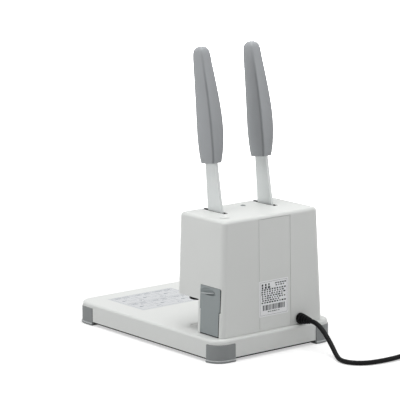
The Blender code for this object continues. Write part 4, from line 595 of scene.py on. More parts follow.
def grown(tree_name, name, finish, place, values):
    """Runs a geometry tree with its named inputs and keeps the result as a plain mesh."""
    piece = new_object(name + "_seed", bpy.data.meshes.new(name))
    modifier = modified(piece, "NODES", node_group=node_tree(tree_name))
    given = {**values, "Finish": material(finish)}
    for socket in modifier.node_group.interface.items_tree:
        if socket.item_type == "SOCKET" and socket.in_out == "INPUT" and socket.name in given:
            modifier[socket.identifier] = given[socket.name]
    piece.matrix_world = place
    piece = coated(settle(piece, name), finish)
    piece.data.polygons.foreach_set("material_index", [0] * len(piece.data.polygons))
    return piece


# Stage: the camera, set from the photograph's own view, the lamps, the room and the floor
CAMERA_PLACE = Vector((2.0888, 2.6035, 0.8519))
CAMERA_YAW = 218.672
CAMERA_PITCH = 11.09
CAMERA_ROLL = -0.224
CAMERA_LENS = 208.16
CAMERA_REACH = 50.0
# Name, energy, place and size of each lamp
LAMPS = (
    ("lamp_above", 31.2, (0.10, 0.05, 2.10), 1.60),
    ("lamp_left", 10.2, (2.25, -0.30, 0.85), 0.80),
    ("lamp_right", 9.5, (-1.65, 1.75, 0.95), 1.30),
)
AIM = Vector((0.0, 0.05, 0.15))
WHITE = (1.0, 1.0, 1.0, 1.0)
ROOM_STRENGTH = 0.34
FLOOR_COLOUR = (0.62, 0.62, 0.62, 1.0)
FLOOR_LIFT = 0.50
FLOOR_CLEAR = 0.30
FLOOR_SIZE = 8.0


def place_camera():
    yaw, pitch, roll = radians(CAMERA_YAW), radians(CAMERA_PITCH), radians(CAMERA_ROLL)
    forward = Vector((sin(yaw) * cos(pitch), cos(yaw) * cos(pitch), -sin(pitch)))
    level = Vector((cos(yaw), -sin(yaw), 0.0))
    upright = level.cross(forward)
    right = cos(roll) * level + sin(roll) * upright
    up = cos(roll) * upright - sin(roll) * level
    lens = bpy.data.cameras.new("photo_view")
    lens.lens = CAMERA_LENS
    lens.clip_end = CAMERA_REACH
    made = new_object("photo_view", lens)
    made.matrix_world = Matrix.Translation(CAMERA_PLACE) @ Matrix((right, up, -forward)).transposed().to_4x4()
    bpy.context.scene.camera = made


def seen_directly(tree):
    """One where a ray comes from the camera, a mirror or glass, else nought."""
    path = tree.nodes.new("ShaderNodeLightPath").outputs
    glossy = math_node(tree, "MAXIMUM", path["Is Camera Ray"], path["Is Glossy Ray"])
    return math_node(tree, "MAXIMUM", glossy, path["Is Transmission Ray"])


def light_room():
    world = bpy.data.worlds.new("studio")
    bpy.context.scene.world = world
    world.use_nodes = True
    tree = world.node_tree
    tree.nodes.clear()
    strength = math_node(tree, "MULTIPLY_ADD", seen_directly(tree), 1.0 - ROOM_STRENGTH, ROOM_STRENGTH)
    room = add_node(tree, "ShaderNodeBackground", {"Color": WHITE, "Strength": strength})
    add_node(tree, "ShaderNodeOutputWorld", {"Surface": room.outputs[0]})
    for name, energy, place, size in LAMPS:
        lamp = bpy.data.lights.new(name, "AREA")
        lamp.energy = energy
        lamp.shape = "DISK"
        lamp.size = size
        made = new_object(name, lamp)
        made.location = place
        made.rotation_euler = (AIM - Vector(place)).to_track_quat("-Z", "Y").to_euler()


def lay_floor():
    """A pale floor that keeps the soft shadow under the machine and is plain white further out."""
    made = bpy.data.materials.new("studio_floor")
    made.use_nodes = True
    tree = made.node_tree
    tree.nodes.clear()
    matt = add_node(tree, "ShaderNodeBsdfDiffuse", {"Color": FLOOR_COLOUR})
    place = add_node(tree, "ShaderNodeTexCoord").outputs["Object"]
    reach = add_node(tree, "ShaderNodeVectorMath", {0: place}, operation="LENGTH").outputs["Value"]
    beyond = math_node(tree, "MAXIMUM", math_node(tree, "SUBTRACT", reach, FLOOR_CLEAR), 0.0)
    amount = math_node(tree, "MULTIPLY", seen_directly(tree), math_node(tree, "ADD", beyond, FLOOR_LIFT))
    lift = add_node(tree, "ShaderNodeEmission", {"Strength": amount})
    both = add_node(tree, "ShaderNodeAddShader", {0: matt.outputs[0], 1: lift.outputs[0]})
    add_node(tree, "ShaderNodeOutputMaterial", {"Surface": both.outputs[0]})
    half = FLOOR_SIZE / 2
    mesh = bpy.data.meshes.new("floor")
    mesh.from_pydata([(-half, -half, 0), (half, -half, 0), (half, half, 0), (-half, half, 0)], [], [(0, 1, 2, 3)])
    mesh.materials.append(made)
    new_object("floor", mesh)


class MACHINE_OT_stage(bpy.types.Operator):
    """Sets the camera, the soft lamps, the pale room and the floor"""

    bl_idname = "machine.stage"
    bl_label = "Stage"

    def execute(self, context):
        context.scene.view_settings.view_transform = "Standard"
        place_camera()
        light_room()
        lay_floor()
        return {"FINISHED"}


# Printed places
# The housing's rear wall leans in from its foot to its head
REAR_FOOT = HOUSING_HIGH.y
REAR_HEAD = 0.1572


def rear_place(x, z, lift=0.0):
    """Lays a flat thing on the rear wall: its X to the viewer's right, its Y up the wall."""
    run = REAR_FOOT - REAR_HEAD
    rise = HOUSING_HIGH.z - BASE_TOP
    length = sqrt(run * run + rise * rise)
    up = Vector((0.0, -run / length, rise / length))
    out = Vector((0.0, rise / length, run / length))
    turn = Matrix((up.cross(out), up, out)).transposed().to_4x4()
    wall = REAR_FOOT - run * (z - BASE_TOP) / rise
    return Matrix.Translation(Vector((x, wall, z)) + out * lift) @ turn


def outline_bars(name, width, height, thickness, finish, place):
    """Four bars that frame a rectangle."""
    rings = []
    for inset, z in ((0.0, 0.0), (PRINT_LINE, 0.0), (PRINT_LINE, thickness), (0.0, thickness)):
        corners = rounded_outline(width - 2 * inset, height - 2 * inset, PRINT_LINE * 2 - inset, COARSE)
        rings.append([(x, y, z) for x, y in corners])
    bars = loft(name, rings, finish, closed=True)
    bars.data.transform(place)
    return bars


def printed_number(name, text, size, thickness, finish, place):
    curve = bpy.data.curves.new(name, "FONT")
    curve.body = text
    curve.size = size
    curve.extrude = thickness / 2
    curve.align_x = "CENTER"
    curve.align_y = "CENTER"
    curve.resolution_u = NUMBER_STEPS
    made = coated(settle(new_object(name + "_text", curve), name), finish)
    made.data.transform(place)
    return made


def arrow_outline(length, width):
    """A plain arrow along X."""
    tail, neck, tip = -length / 2, length / 2 - length * ARROW_NECK, length / 2
    shaft, barb = width * ARROW_SHAFT, width / 2
    return (
        (tail, -shaft), (neck, -shaft), (neck, -barb), (tip, 0.0), (neck, barb), (neck, shaft), (tail, shaft),
    )


PRINT_LINE = 0.0003
PRINT_CORNER = 0.0012
NUMBER_STEPS = 3
ARROW_NECK = 0.45
ARROW_SHAFT = 1 / 6
LABEL_PLACE = (-0.0015, 0.0800)
LABEL_BORDER = 0.93
# Rows of marks, in shares of the label: count, step, height of a mark, place across and up, seed
LABEL_ROWS = (
    (3, 0.110, 0.062, -0.27, 0.385, 1), (3, 0.110, 0.062, -0.27, 0.308, 2), (5, 0.080, 0.034, 0.24, 0.395, 3),
    (4, 0.082, 0.034, 0.22, 0.335, 4), (10, 0.086, 0.038, 0.0, 0.248, 5), (9, 0.088, 0.038, -0.04, 0.188, 6),
    (10, 0.084, 0.038, -0.01, 0.128, 7), (8, 0.094, 0.038, -0.05, 0.068, 8), (10, 0.084, 0.038, 0.0, 0.008, 9),
    (7, 0.088, 0.038, -0.10, -0.052, 10), (10, 0.086, 0.038, 0.0, -0.112, 11), (15, 0.051, 0.150, 0.0, -0.255, 12),
    (6, 0.070, 0.028, 0.0, -0.375, 13),
)
MARK_SHARE = 0.84
MARK_SPREAD = 0.55


class MACHINE_OT_rear_label(bpy.types.Operator):
    """Lays a plain ruled label on the rear panel"""

    bl_idname = "machine.rear_label"
    bl_label = "Rear label"

    def execute(self, context):
        sizes = context.scene.machine_details
        wide, high, film = sizes.label_width, sizes.label_height, sizes.film
        face = rear_place(*LABEL_PLACE, film)
        plate = rounded_outline(wide, high, PRINT_CORNER)
        pieces = [
            slab("label_plate", plate, (0.0, film), "label_foil", rear_place(*LABEL_PLACE)),
            outline_bars("border", wide * LABEL_BORDER, high * LABEL_BORDER, film / 2, "label_ink", face),
        ]
        for count, step, tall, across, up, seed in LABEL_ROWS:
            place = face @ Matrix.Translation((across * wide, up * high, 0.0))
            pieces.append(grown("mark_grid", "marks", "label_ink", place, {
                "Columns": count, "Rows": 1, "Column Step": wide * step, "Row Step": 0.0,
                "Length": wide * step * MARK_SHARE, "Height": high * tall, "Thickness": film,
                "Spread": MARK_SPREAD, "Seed": seed,
            }))
        stand_for(join_pieces(pieces, "rear_label"), "stand", "white_plastic")
        return {"FINISHED"}


PANEL_PLACE = (0.0145, -0.0925)
PANEL_COLUMNS = 3
PANEL_ROWS = 2
PANEL_MARGIN = (1.03, 1.04)
# Parts of a panel cell, in shares of its width and depth
CELL_SIZE = (0.94, 0.92)
NUMBER_PLACE, NUMBER_SIZE = (-0.36, 0.30), 0.20
SHEET_PLACE, SHEET_SIZE = (-0.12, -0.02), (0.30, 0.40)
ARROW_PLACE, ARROW_SIZE = (0.22, 0.06), (0.20, 0.14)
LINES_PLACE, LINES_STEP, LINE_SIZE, LINES_SPREAD = (0.0, -0.35), (0.40, 0.055), (0.36, 0.018), 0.4


def panel_cell(index, width, depth, film):
    """One framed cell of the panel: its number, an arrow, a sheet's outline and ruled lines."""
    row, column = divmod(index, PANEL_COLUMNS)
    x = PANEL_PLACE[0] + (column - (PANEL_COLUMNS - 1) / 2) * width
    y = PANEL_PLACE[1] + ((PANEL_ROWS - 1) / 2 - row) * depth
    centre = Matrix.Translation((x, y, BASE_TOP + film))
    thickness, ink = film / 2, "panel_ink"

    def inside(across, along):
        return centre @ Matrix.Translation((across * width, along * depth, 0.0))

    def sized(across, along):
        return width * across, depth * along

    step, size = sized(*LINES_STEP), sized(*LINE_SIZE)
    return [
        outline_bars("cell", *sized(*CELL_SIZE), thickness, ink, centre),
        printed_number("number", str(index + 1), depth * NUMBER_SIZE, thickness, ink, inside(*NUMBER_PLACE)),
        outline_bars("sheet", *sized(*SHEET_SIZE), thickness, ink, inside(*SHEET_PLACE)),
        slab("arrow", arrow_outline(*sized(*ARROW_SIZE)), (0.0, thickness), ink, inside(*ARROW_PLACE)),
        grown("mark_grid", "lines", ink, inside(*LINES_PLACE), {
            "Columns": 2, "Rows": 3, "Column Step": step[0], "Row Step": step[1], "Length": size[0],
            "Height": size[1], "Thickness": thickness, "Spread": LINES_SPREAD, "Seed": index,
        }),
    ]


class MACHINE_OT_base_panel(bpy.types.Operator):
    """Prints a faint panel of numbered cells on the base's top"""

    bl_idname = "machine.base_panel"
    bl_label = "Base panel"

    def execute(self, context):
        sizes = context.scene.machine_details
        wide, deep, film = sizes.panel_width, sizes.panel_depth, sizes.film
        plate = rounded_outline(wide * PANEL_MARGIN[0], deep * PANEL_MARGIN[1], PRINT_CORNER)
        place = Matrix.Translation((*PANEL_PLACE, BASE_TOP))
        pieces = [slab("panel_film", plate, (0.0, film), "panel_film", place)]
        for index in range(PANEL_COLUMNS * PANEL_ROWS):
            pieces += panel_cell(index, wide / PANEL_COLUMNS, deep / PANEL_ROWS, film)
        stand_for(join_pieces(pieces, "base_panel"), "stand", "white_plastic")
        return {"FINISHED"}


# Shells
# The sloped top of a foot's rim, where a painted highlight makes it paler than the rest
RIM_LOW = 0.0027
RIM_HIGH = 0.0044
RIM_FACING = 0.3
# The bottom plate is drawn this much deeper than its sheet: its dark edge is real, its extra depth a painted
# shadow along the base's lower edge
PLATE_DEPTH_SHARE = 1.9
SCREW_COLUMNS = 2
SCREW_ROWS = 3
SCREW_INSET = 0.0300
SCREW_HEAD = 0.0011
SCREW_SIDES = 28
# A head's rings, as shares of its radius and height, and its cross recess, as shares of them too
SCREW_PROFILE = ((1.0, 0.0), (1.0, 0.45), (0.86, 0.80), (0.55, 0.97), (0.20, 1.0))
CROSS_LONG, CROSS_SHORT, CROSS_CORNER = 1.25, 0.28, 0.08
CROSS_HEIGHTS = (-SCREW_HEAD * 1.4, -SCREW_HEAD * 0.4)


def deeper_plate(place):
    return Vector((place.x, place.y, PLATE_HIGH.z + (place.z - PLATE_HIGH.z) * PLATE_DEPTH_SHARE))


def screw_head(radius, name):
    """A low domed head with a cross recess, its seat on z = 0 and its crown below."""
    head = loft(name, [
        [(share * radius * cos(a), share * radius * sin(a), -drop * SCREW_HEAD) for a in round_angles(SCREW_SIDES)]
        for share, drop in SCREW_PROFILE
    ])
    for width, depth in ((CROSS_LONG, CROSS_SHORT), (CROSS_SHORT, CROSS_LONG)):
        outline = rounded_outline(radius * width, radius * depth, radius * CROSS_CORNER, COARSE)
        blade = slab("blade", outline, CROSS_HEIGHTS)
        modified(head, "BOOLEAN", operation="DIFFERENCE", object=blade)
        head = settle(head, name)
        bpy.data.objects.remove(blade, do_unlink=True)
    return smooth_by_angle(head)


class MACHINE_OT_base(bpy.types.Operator):
    """Dresses the base tray, its bottom plate and its corner feet"""

    bl_idname = "machine.base"
    bl_label = "Base and feet"

    def execute(self, context):
        softened("base_shell", "base_tray", "white_shell")
        softened("base_bottom_plate", "bottom_plate", "dark_enamel", 0.5, reshape=deeper_plate)
        for corner in ("front_left", "front_right", "rear_left", "rear_right"):
            foot = softened("foot_" + corner, "corner_foot_" + corner, "foot_rubber")
            # Faces on the rim's upward slope, which get the painted highlight
            marked = [
                float(face.normal.z > RIM_FACING and RIM_LOW < face.center.z < RIM_HIGH)
                for face in foot.data.polygons
            ]
            foot.data.attributes.new(RIM_LIGHT, "FLOAT", "FACE").data.foreach_set("value", marked)
        softened("cutting_pad", "cutting_block", "natural_nylon")
        softened("lower_die", "lower_rivet_die", "turned_brass")
        dress("cast_alloy", "lower_heater_block")
        head = screw_head(context.scene.machine_details.screw_radius, "screw_pattern")
        place = Matrix.Translation((0.0, 0.0, PLATE_LOW.z))
        screws = grown("fastener_set", "bottom_screws", "plated_steel", place, {
            "Columns": SCREW_COLUMNS, "Rows": SCREW_ROWS, "Width": BASE_HIGH.x - BASE_LOW.x - 2 * SCREW_INSET,
            "Depth": BASE_HIGH.y - BASE_LOW.y - 2 * SCREW_INSET, "Fastener": head,
        })
        bpy.data.objects.remove(head, do_unlink=True)
        stand_for(screws, "stand", "zinc_steel")
        return {"FINISHED"}


# Half a lever slot's width, and the thickness of the black strips of painted shade on its side walls
SLOT_HALF = 0.0040
SLOT_SHADE_THICKNESS = 0.0013
# How squarely a face has to look along an axis: a slot's wall, the drawer's lower and rear edges
SQUARE_ON = 0.99
MOSTLY_DOWN = -0.9
PARTLY_BACK = 0.3


def on_slot_wall(face, middle):
    off_wall = abs(abs(abs(middle.x) - LEVER_PLANE) - SLOT_HALF)
    return abs(face.normal.x) > SQUARE_ON and off_wall < FLAT_REACH


class MACHINE_OT_housing(bpy.types.Operator):
    """Dresses the housing, its rear panel, its underside cover, the round caps on top and its slots, whose walls
    get black strips of painted shade
    """

    bl_idname = "machine.housing"
    bl_label = "Housing"

    def execute(self, context):
        softened("housing_shell", "housing", "white_shell")
        softened("rear_cover", "rear_panel", "white_shell", 0.5)
        softened("head_bottom_cover", "head_cover", "white_shell", 0.5)
        softened("top_plug", "top_cap", "white_shell", 0.5)
        softened("top_indicator", "top_lens", "drawer_plastic", 0.5)
        # Painted shade: black strips on the slot walls
        black_strip("housing_shell", "slot_lining", "stand", on_slot_wall, SLOT_SHADE_THICKNESS, 1.0)
        return {"FINISHED"}


# The drawer's face: its depth, its corner, the step of its sides, the black strip of painted shade in the gap
# along its edges
FACE_DEPTH = 0.0080
FACE_CORNER = 0.0030
FACE_STEP = 0.0017
FACE_STEP_RISE = 0.0354
GAP_SHADE_WIDTH = 0.0010
GAP_SHADE_RECESS = 0.0003
# The finger ledge: its ends along Y, its lower end and its rise, half its thickness, its reach
LEDGE_START = 0.1103
LEDGE_END = 0.1388
LEDGE_LOW = 0.0922
LEDGE_RISE = 0.0039
LEDGE_CURVE = 1.6
LEDGE_HALF = 0.0008
LEDGE_PROUD = 0.0008
LEDGE_FACE = 0.0924
LEDGE_REACH = 0.0042
LEDGE_STEPS = 20
# How full the ledge is at its ends, and how fast it fills
LEDGE_TIP = 0.35
LEDGE_FILL = 5


def trimmed_face(place):
    """Draws in the rear and the lower edge of the drawer's face, which widens the gap there and leaves room for
    the strip of painted shade.
    """
    moved = Vector(place)
    if place.x < DRAWER_HIGH.x - FACE_DEPTH:
        return moved
    past = (place.y - DRAWER_HIGH.y + FACE_CORNER) / (FACE_CORNER - FACE_STEP)
    moved.y -= GAP_SHADE_WIDTH * min(1.0, max(0.0, past))
    on_step = abs(place.z - DRAWER_LOW.z - FACE_STEP_RISE) < FLAT_REACH and past > 0
    if on_step or place.z < DRAWER_LOW.z + FLAT_REACH:
        moved.z += GAP_SHADE_WIDTH
    return moved


def on_face_edge(face, middle):
    """Whether a face of the drawer is on the rear or the lower edge of its front."""
    past_corner = middle.y > DRAWER_HIGH.y - FACE_CORNER
    behind = face.normal.y > PARTLY_BACK and past_corner
    below = face.normal.z < MOSTLY_DOWN and (middle.z < DRAWER_LOW.z + FLAT_REACH or past_corner)
    return middle.x > DRAWER_HIGH.x - FACE_DEPTH and (behind or below)


def recessed_gap_shade(place):
    return place - Vector((GAP_SHADE_RECESS if place.x > DRAWER_HIGH.x - FACE_DEPTH / 2 else 0.0, 0.0, 0.0))


def finger_ledge():
    """A curved ledge across the finger scoop, thinner at its ends, in a paler grey that paints a highlight on its
    upper side.
    """
    rings = []
    for i in range(LEDGE_STEPS + 1):
        share = i / LEDGE_STEPS
        y = LEDGE_START + (LEDGE_END - LEDGE_START) * share
        z = LEDGE_LOW + LEDGE_RISE * share ** LEDGE_CURVE
        fullness = min(1.0, LEDGE_TIP + LEDGE_FILL * share, LEDGE_TIP + LEDGE_FILL * (1 - share))
        half, proud = LEDGE_HALF * fullness, LEDGE_PROUD * fullness
        profile = (
            (-LEDGE_REACH, -half), (proud / 2, -half), (proud, -half / 2), (proud, half / 2),
            (proud / 2, half), (-LEDGE_REACH, half),
        )
        rings.append([(LEDGE_FACE + x, y, z + up) for x, up in profile])
    return smooth_by_angle(loft("finger_ledge", rings, "ledge_highlight"), ROUND_ANGLE)


class MACHINE_OT_drawer(bpy.types.Operator):
    """Dresses the chip drawer, the black strip of painted shade in its gap, its finger ledge and its rail tray"""

    bl_idname = "machine.drawer"
    bl_label = "Chip drawer"

    def execute(self, context):
        softened("chip_drawer", "chip_tray", "drawer_plastic", body="drawer", reshape=trimmed_face)
        black_strip("chip_drawer", "drawer_seal", "drawer", on_face_edge, GAP_SHADE_WIDTH, -1.0, recessed_gap_shade)
        stand_for(finger_ledge(), "drawer", "grey_plastic")
        dress("plated_steel", "drawer_guide")
        return {"FINISHED"}


# Levers: how far they lean back and how far the bar's middle is behind the pivot
LEVER_LEAN = radians(7.3)
LEVER_OFFSET = 0.0102
BAR_SWELL = 1.18
BAR_SWELL_START = 0.0400
GRIP_START = 0.1295
GRIP_LENGTH = 0.1669
GRIP_CORNER = 0.0034
# The largest corner, as a share of the grip's thickness or depth
GRIP_ROUNDEST = 0.45
# Share of the grip's length, thickness, depth before and behind the bar's middle
GRIP_SECTIONS = (
    (0.000, 0.0170, 0.0150, 0.0140), (0.030, 0.0182, 0.0156, 0.0156), (0.120, 0.0212, 0.0156, 0.0184),
    (0.250, 0.0238, 0.0146, 0.0202), (0.400, 0.0240, 0.0134, 0.0200), (0.550, 0.0226, 0.0130, 0.0178),
    (0.700, 0.0206, 0.0132, 0.0146), (0.850, 0.0186, 0.0136, 0.0108), (0.930, 0.0176, 0.0132, 0.0090),
    (0.970, 0.0156, 0.0116, 0.0072), (0.992, 0.0110, 0.0084, 0.0040), (1.000, 0.0056, 0.0052, 0.0010),
)
# Shares where the grip is lofted, closer together at its tip
GRIP_SHARES = (*(i / 36 for i in range(34)), 0.930, 0.945, 0.960, 0.972, 0.983, 0.992, 0.997, 1.0)
# How the painted shade's strength runs round a corner's eight points, also darkening the facet before each corner,
# and its fading share at the tip
RIDGE_SHADE_CORNER = (0.32, 0.46, 0.80, 1.0, 1.0, 0.75, 0.25, 0.0)
RIDGE_SHADE_FADE = 0.34
SPRING_RADIUS = 0.0110
SPRING_WIRE = 0.0006
SPRING_PITCH = 0.0018
SPRING_TURNS = 3
SPRING_STEPS = 40
SPRING_LEG = 0.0100


def lever_point(across, along):
    """A point of an upright lever: across towards its back, along from the pivot up."""
    back = PIVOT.y + across * cos(LEVER_LEAN) - along * sin(LEVER_LEAN)
    return back, PIVOT.z + across * sin(LEVER_LEAN) + along * cos(LEVER_LEAN)


def broader_bar(place):
    """Moves a point of the bar outward between the housing and the grip, where its sides swell."""
    back, up = place.y - PIVOT.y, place.z - PIVOT.z
    across = back * cos(LEVER_LEAN) + up * sin(LEVER_LEAN)
    along = up * cos(LEVER_LEAN) - back * sin(LEVER_LEAN)
    if not BAR_SWELL_START < along < GRIP_START + WELD:
        return place
    across = (across + LEVER_OFFSET) * BAR_SWELL - LEVER_OFFSET
    return Vector((place.x, *lever_point(across, along)))


def section_at(share):
    """Thickness and depths of the grip at a share of its length, on a smooth curve."""
    rows = GRIP_SECTIONS
    k = max(i for i in range(len(rows) - 1) if rows[i][0] <= share)
    before, low, high, after = rows[max(k - 1, 0)], rows[k], rows[k + 1], rows[min(k + 2, len(rows) - 1)]
    span = high[0] - low[0]
    t = (share - low[0]) / span
    square, cube = t * t, t * t * t
    found = []
    for n in (1, 2, 3):
        rise_low = (high[n] - before[n]) / (high[0] - before[0]) * span
        rise_high = (after[n] - low[n]) / (after[0] - low[0]) * span
        found.append(
            (2 * cube - 3 * square + 1) * low[n] + (cube - 2 * square + t) * rise_low
            + (3 * square - 2 * cube) * high[n] + (cube - square) * rise_high
        )
    return found


def grip_mesh(name, side):
    """A soft grip, lofted through many sections, with painted shade in a darker line along each edge."""
    rings, ridge_shade = [], []
    for share in GRIP_SHARES:
        thickness, front, rear = section_at(share)
        depth = front + rear
        radius = min(GRIP_CORNER, thickness * GRIP_ROUNDEST, depth * GRIP_ROUNDEST)
        middle = -LEVER_OFFSET + (rear - front) / 2
        along = GRIP_START + share * GRIP_LENGTH
        rings.append([
            (side * LEVER_PLANE + x, *lever_point(middle + y, along))
            for x, y in rounded_outline(thickness, depth, radius, len(RIDGE_SHADE_CORNER) - 1)
        ])
        fade = min(1.0, (1.0 - share) / RIDGE_SHADE_FADE)
        ridge_shade += [fade * value for value in RIDGE_SHADE_CORNER * 4]
    grip = loft(name, rings, "grip_rubber")
    grip.data.attributes.new(RIDGE_SHADE, "FLOAT", "POINT").data.foreach_set("value", ridge_shade)
    return smooth_by_angle(grip, GRIP_ANGLE)


def tube_curve(name, points, radius, finish, resolution=4):
    curve = bpy.data.curves.new(name, "CURVE")
    curve.dimensions = "3D"
    spline = curve.splines.new("POLY")
    spline.points.add(len(points) - 1)
    spline.use_smooth = True
    for point, place in zip(spline.points, points):
        point.co = (*place, 1.0)
    curve.bevel_depth = radius
    curve.bevel_resolution = resolution
    curve.use_fill_caps = True
    return new_object(name, curve, finish)


def wound_spring(name, node, side):
    """A return spring's loops round the hub, with a leg at each end."""
    low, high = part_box(node)
    first = (low.x if side > 0 else high.x) + side * SPRING_WIRE
    points = []
    for i in range(SPRING_TURNS * SPRING_STEPS + 1):
        angle = 2 * pi * i / SPRING_STEPS
        x = first + side * SPRING_PITCH * i / SPRING_STEPS
        points.append(Vector((x, PIVOT.y + SPRING_RADIUS * cos(angle), PIVOT.z + SPRING_RADIUS * sin(angle))))
    points.insert(0, points[0] - Vector((0, 0, SPRING_LEG)))
    points.append(points[-1] + (points[-1] - points[-2]).normalized() * SPRING_LEG)
    made = settle(tube_curve(name, points, SPRING_WIRE, "dark_enamel"), name)
    return smooth_by_angle(coated(made, "dark_enamel"), ROUND_ANGLE)


class MACHINE_OT_levers(bpy.types.Operator):
    """Builds both levers: bars, soft grips, sector gears and return springs"""

    bl_idname = "machine.levers"
    bl_label = "Levers"

    def execute(self, context):
        for word, side in (("drill", 1), ("press", -1)):
            body = word + "_lever"
            softened(body + "_arm", word + "_bar", "lever_enamel", body=body, reshape=broader_bar)
            stand_for(grip_mesh(word + "_grip", side), body, "grey_rubber", body + "_grip")
            dress("plated_steel", word + "_sector_gear")
            spring = wound_spring(word + "_return_spring", body + "_spring", side)
            stand_for(spring, "stand", "dark_steel", body + "_spring")
        return {"FINISHED"}


# Inner works
CHUCK_GRIP = 0.0080
CHUCK_LIFT = CHUCK_GRIP * 0.7
FLUTES = 24
FLUTE_WIDTH = 0.10
FLUTE_DEPTH = 0.05


class MACHINE_OT_inner_frame(bpy.types.Operator):
    """Dresses the steel frame, its guide rods, axle and clip"""

    bl_idname = "machine.inner_frame"
    bl_label = "Inner frame"

    def execute(self, context):
        dress(
            "plated_steel", "frame_plate_left", "frame_plate_right", "frame_cross_plate", "guide_plate",
            "top_guide_plate",
        )
        dress(
            "ground_steel", "drill_front_guide_rod", "drill_rear_guide_rod", "press_front_guide_rod",
            "press_rear_guide_rod", "lever_axle",
        )
        dress("dark_enamel", "axle_clip")
        return {"FINISHED"}


class MACHINE_OT_drill_unit(bpy.types.Operator):
    """Dresses the drill's carriage, spindle, gears, motor, bit and paper foot"""

    bl_idname = "machine.drill_unit"
    bl_label = "Drill unit"

    def execute(self, context):
        softened("drill_foot", "paper_foot", "black_moulding", body="paper_foot")
        softened("drill_bit", "hollow_bit", "ground_steel", 0.25, "spindle_group")
        dress("cast_alloy", "drill_carriage")
        dress("plated_steel", "drill_rack")
        dress("ground_steel", "spindle_bearing", "spindle")
        dress("turned_brass", "spindle_gear", "motor_pinion")
        dress("dark_enamel", "drill_motor")
        low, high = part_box("spindle")
        radius = (high.x - low.x) / 2
        place = Matrix.Translation(((low.x + high.x) / 2, (low.y + high.y) / 2, low.z + CHUCK_LIFT))
        flutes = grown("flute_ring", "chuck_flutes", "ground_steel", place, {
            "Count": FLUTES, "Radius": radius, "Bar Width": radius * FLUTE_WIDTH,
            "Bar Depth": radius * FLUTE_DEPTH, "Bar Height": CHUCK_GRIP,
        })
        stand_for(flutes, "spindle_group", "bright_steel")
        return {"FINISHED"}


class MACHINE_OT_press_unit(bpy.types.Operator):
    """Dresses the press carriage, its heater and the upper die"""

    bl_idname = "machine.press_unit"
    bl_label = "Press unit"

    def execute(self, context):
        softened("upper_die", "upper_rivet_die", "turned_brass", 0.5, "press_slide")
        dress("cast_alloy", "press_carriage", "heater_block")
        dress("plated_steel", "press_rack")
        dress("natural_nylon", "heater_insulator")
        dress("ground_steel", "heater_cartridge")
        return {"FINISHED"}


class MACHINE_OT_electrical(bpy.types.Operator):
    """Dresses the board, the transformer, the switch and the ready lamp"""

    bl_idname = "machine.electrical"
    bl_label = "Electrical pieces"

    def execute(self, context):
        dress("solder_mask", "control_board")
        dress("dark_enamel", "transformer")
        softened("power_switch_bezel", "switch_frame", "black_moulding")
        softened("power_switch_rocker", "switch_rocker", "black_moulding", body="rocker")
        softened("ready_lamp", "ready_lens", "clear_red_lens", 0.5)
        return {"FINISHED"}


# Mains cord, as it is laid in the source
CORD_RADIUS = 0.0035
CORD_GAP = 0.0003
CORD_SIDES = 5
CURVE_STEPS = 16
BOOT_PLACE = Vector((-0.0505, 0.15986, 0.0418))
BOOT_LENGTH = 0.0245
BOOT_ROOT = 0.0080
BOOT_TIP = 0.0048
BOOT_NECK = 0.0050
BOOT_RIBS = 4
BOOT_SIDES = 48
# Ribs: the first one's place and the width as shares of their step, their radii and their draft
RIB_START = 0.95
RIB_WIDTH = 0.56
RIB_RADII = (BOOT_ROOT * 0.97, BOOT_TIP * 1.02)
RIB_DRAFT = 0.96
# Distance along the boot and radius
BOOT_PROFILE = (
    (-0.0045, BOOT_ROOT), (-0.0033, BOOT_ROOT), (-0.0033, BOOT_NECK), (CORD_GAP, BOOT_NECK),
    (CORD_GAP, BOOT_ROOT * 0.94), (0.0008, BOOT_ROOT), (0.0026, BOOT_ROOT), (0.0032, BOOT_ROOT * 0.74),
    (BOOT_LENGTH * 0.97, BOOT_TIP * 0.80), (BOOT_LENGTH, BOOT_TIP * 0.76),
)
CORD_ROUTE = (
    (-0.0505, 0.1948, 0.0408), (-0.0505, 0.2014, 0.0383), (-0.0504, 0.2080, 0.0345),
    (-0.0500, 0.2148, 0.0299), (-0.0491, 0.2218, 0.0247), (-0.0470, 0.2317, 0.0176),
    (-0.0440, 0.2412, 0.0115), (-0.0400, 0.2512, 0.0066), (-0.0360, 0.2612, 0.0042),
    (-0.0338, 0.2722, 0.0036), (-0.0363, 0.2840, 0.0036), (-0.0438, 0.2941, 0.0036),
    (-0.0549, 0.3009, 0.0036), (-0.0670, 0.3044, 0.0037), (-0.0780, 0.3063, 0.0039),
    (-0.0900, 0.3074, 0.0041), (-0.1030, 0.3075, 0.0043), (-0.1160, 0.3065, 0.0045),
)
COIL_CENTRE = Vector((-0.1700, 0.3490, 0.0))
COIL_MEAN_RADIUS = 0.0385
COIL_PITCH = 0.0076
COIL_TURNS = 5.25
COIL_START_ANGLE = -75.0
COIL_LIFT = 0.0011
COIL_LEAD = 0.0070
COIL_STEPS = 24
TAIL_RADIUS = 0.0450
TAIL_TURN = radians(50.0)
TAIL_STEPS = 10
PLUG_THICKNESS = 0.0190
PLUG_BODY = 0.0340
PLUG_WIDTH = 0.0250
PLUG_TAIL = 0.0130
PIN_LENGTH = 0.0180
PIN_WIDTH = 0.0063
PIN_THICKNESS = 0.0015
PIN_SPREAD = 0.0064
# Corner radius as a share of the thickness, and share of the plug's body that a pin's root lies inside
PLUG_CORNER = 0.40
PIN_CORNER = 0.3
PIN_ROOT = 0.03
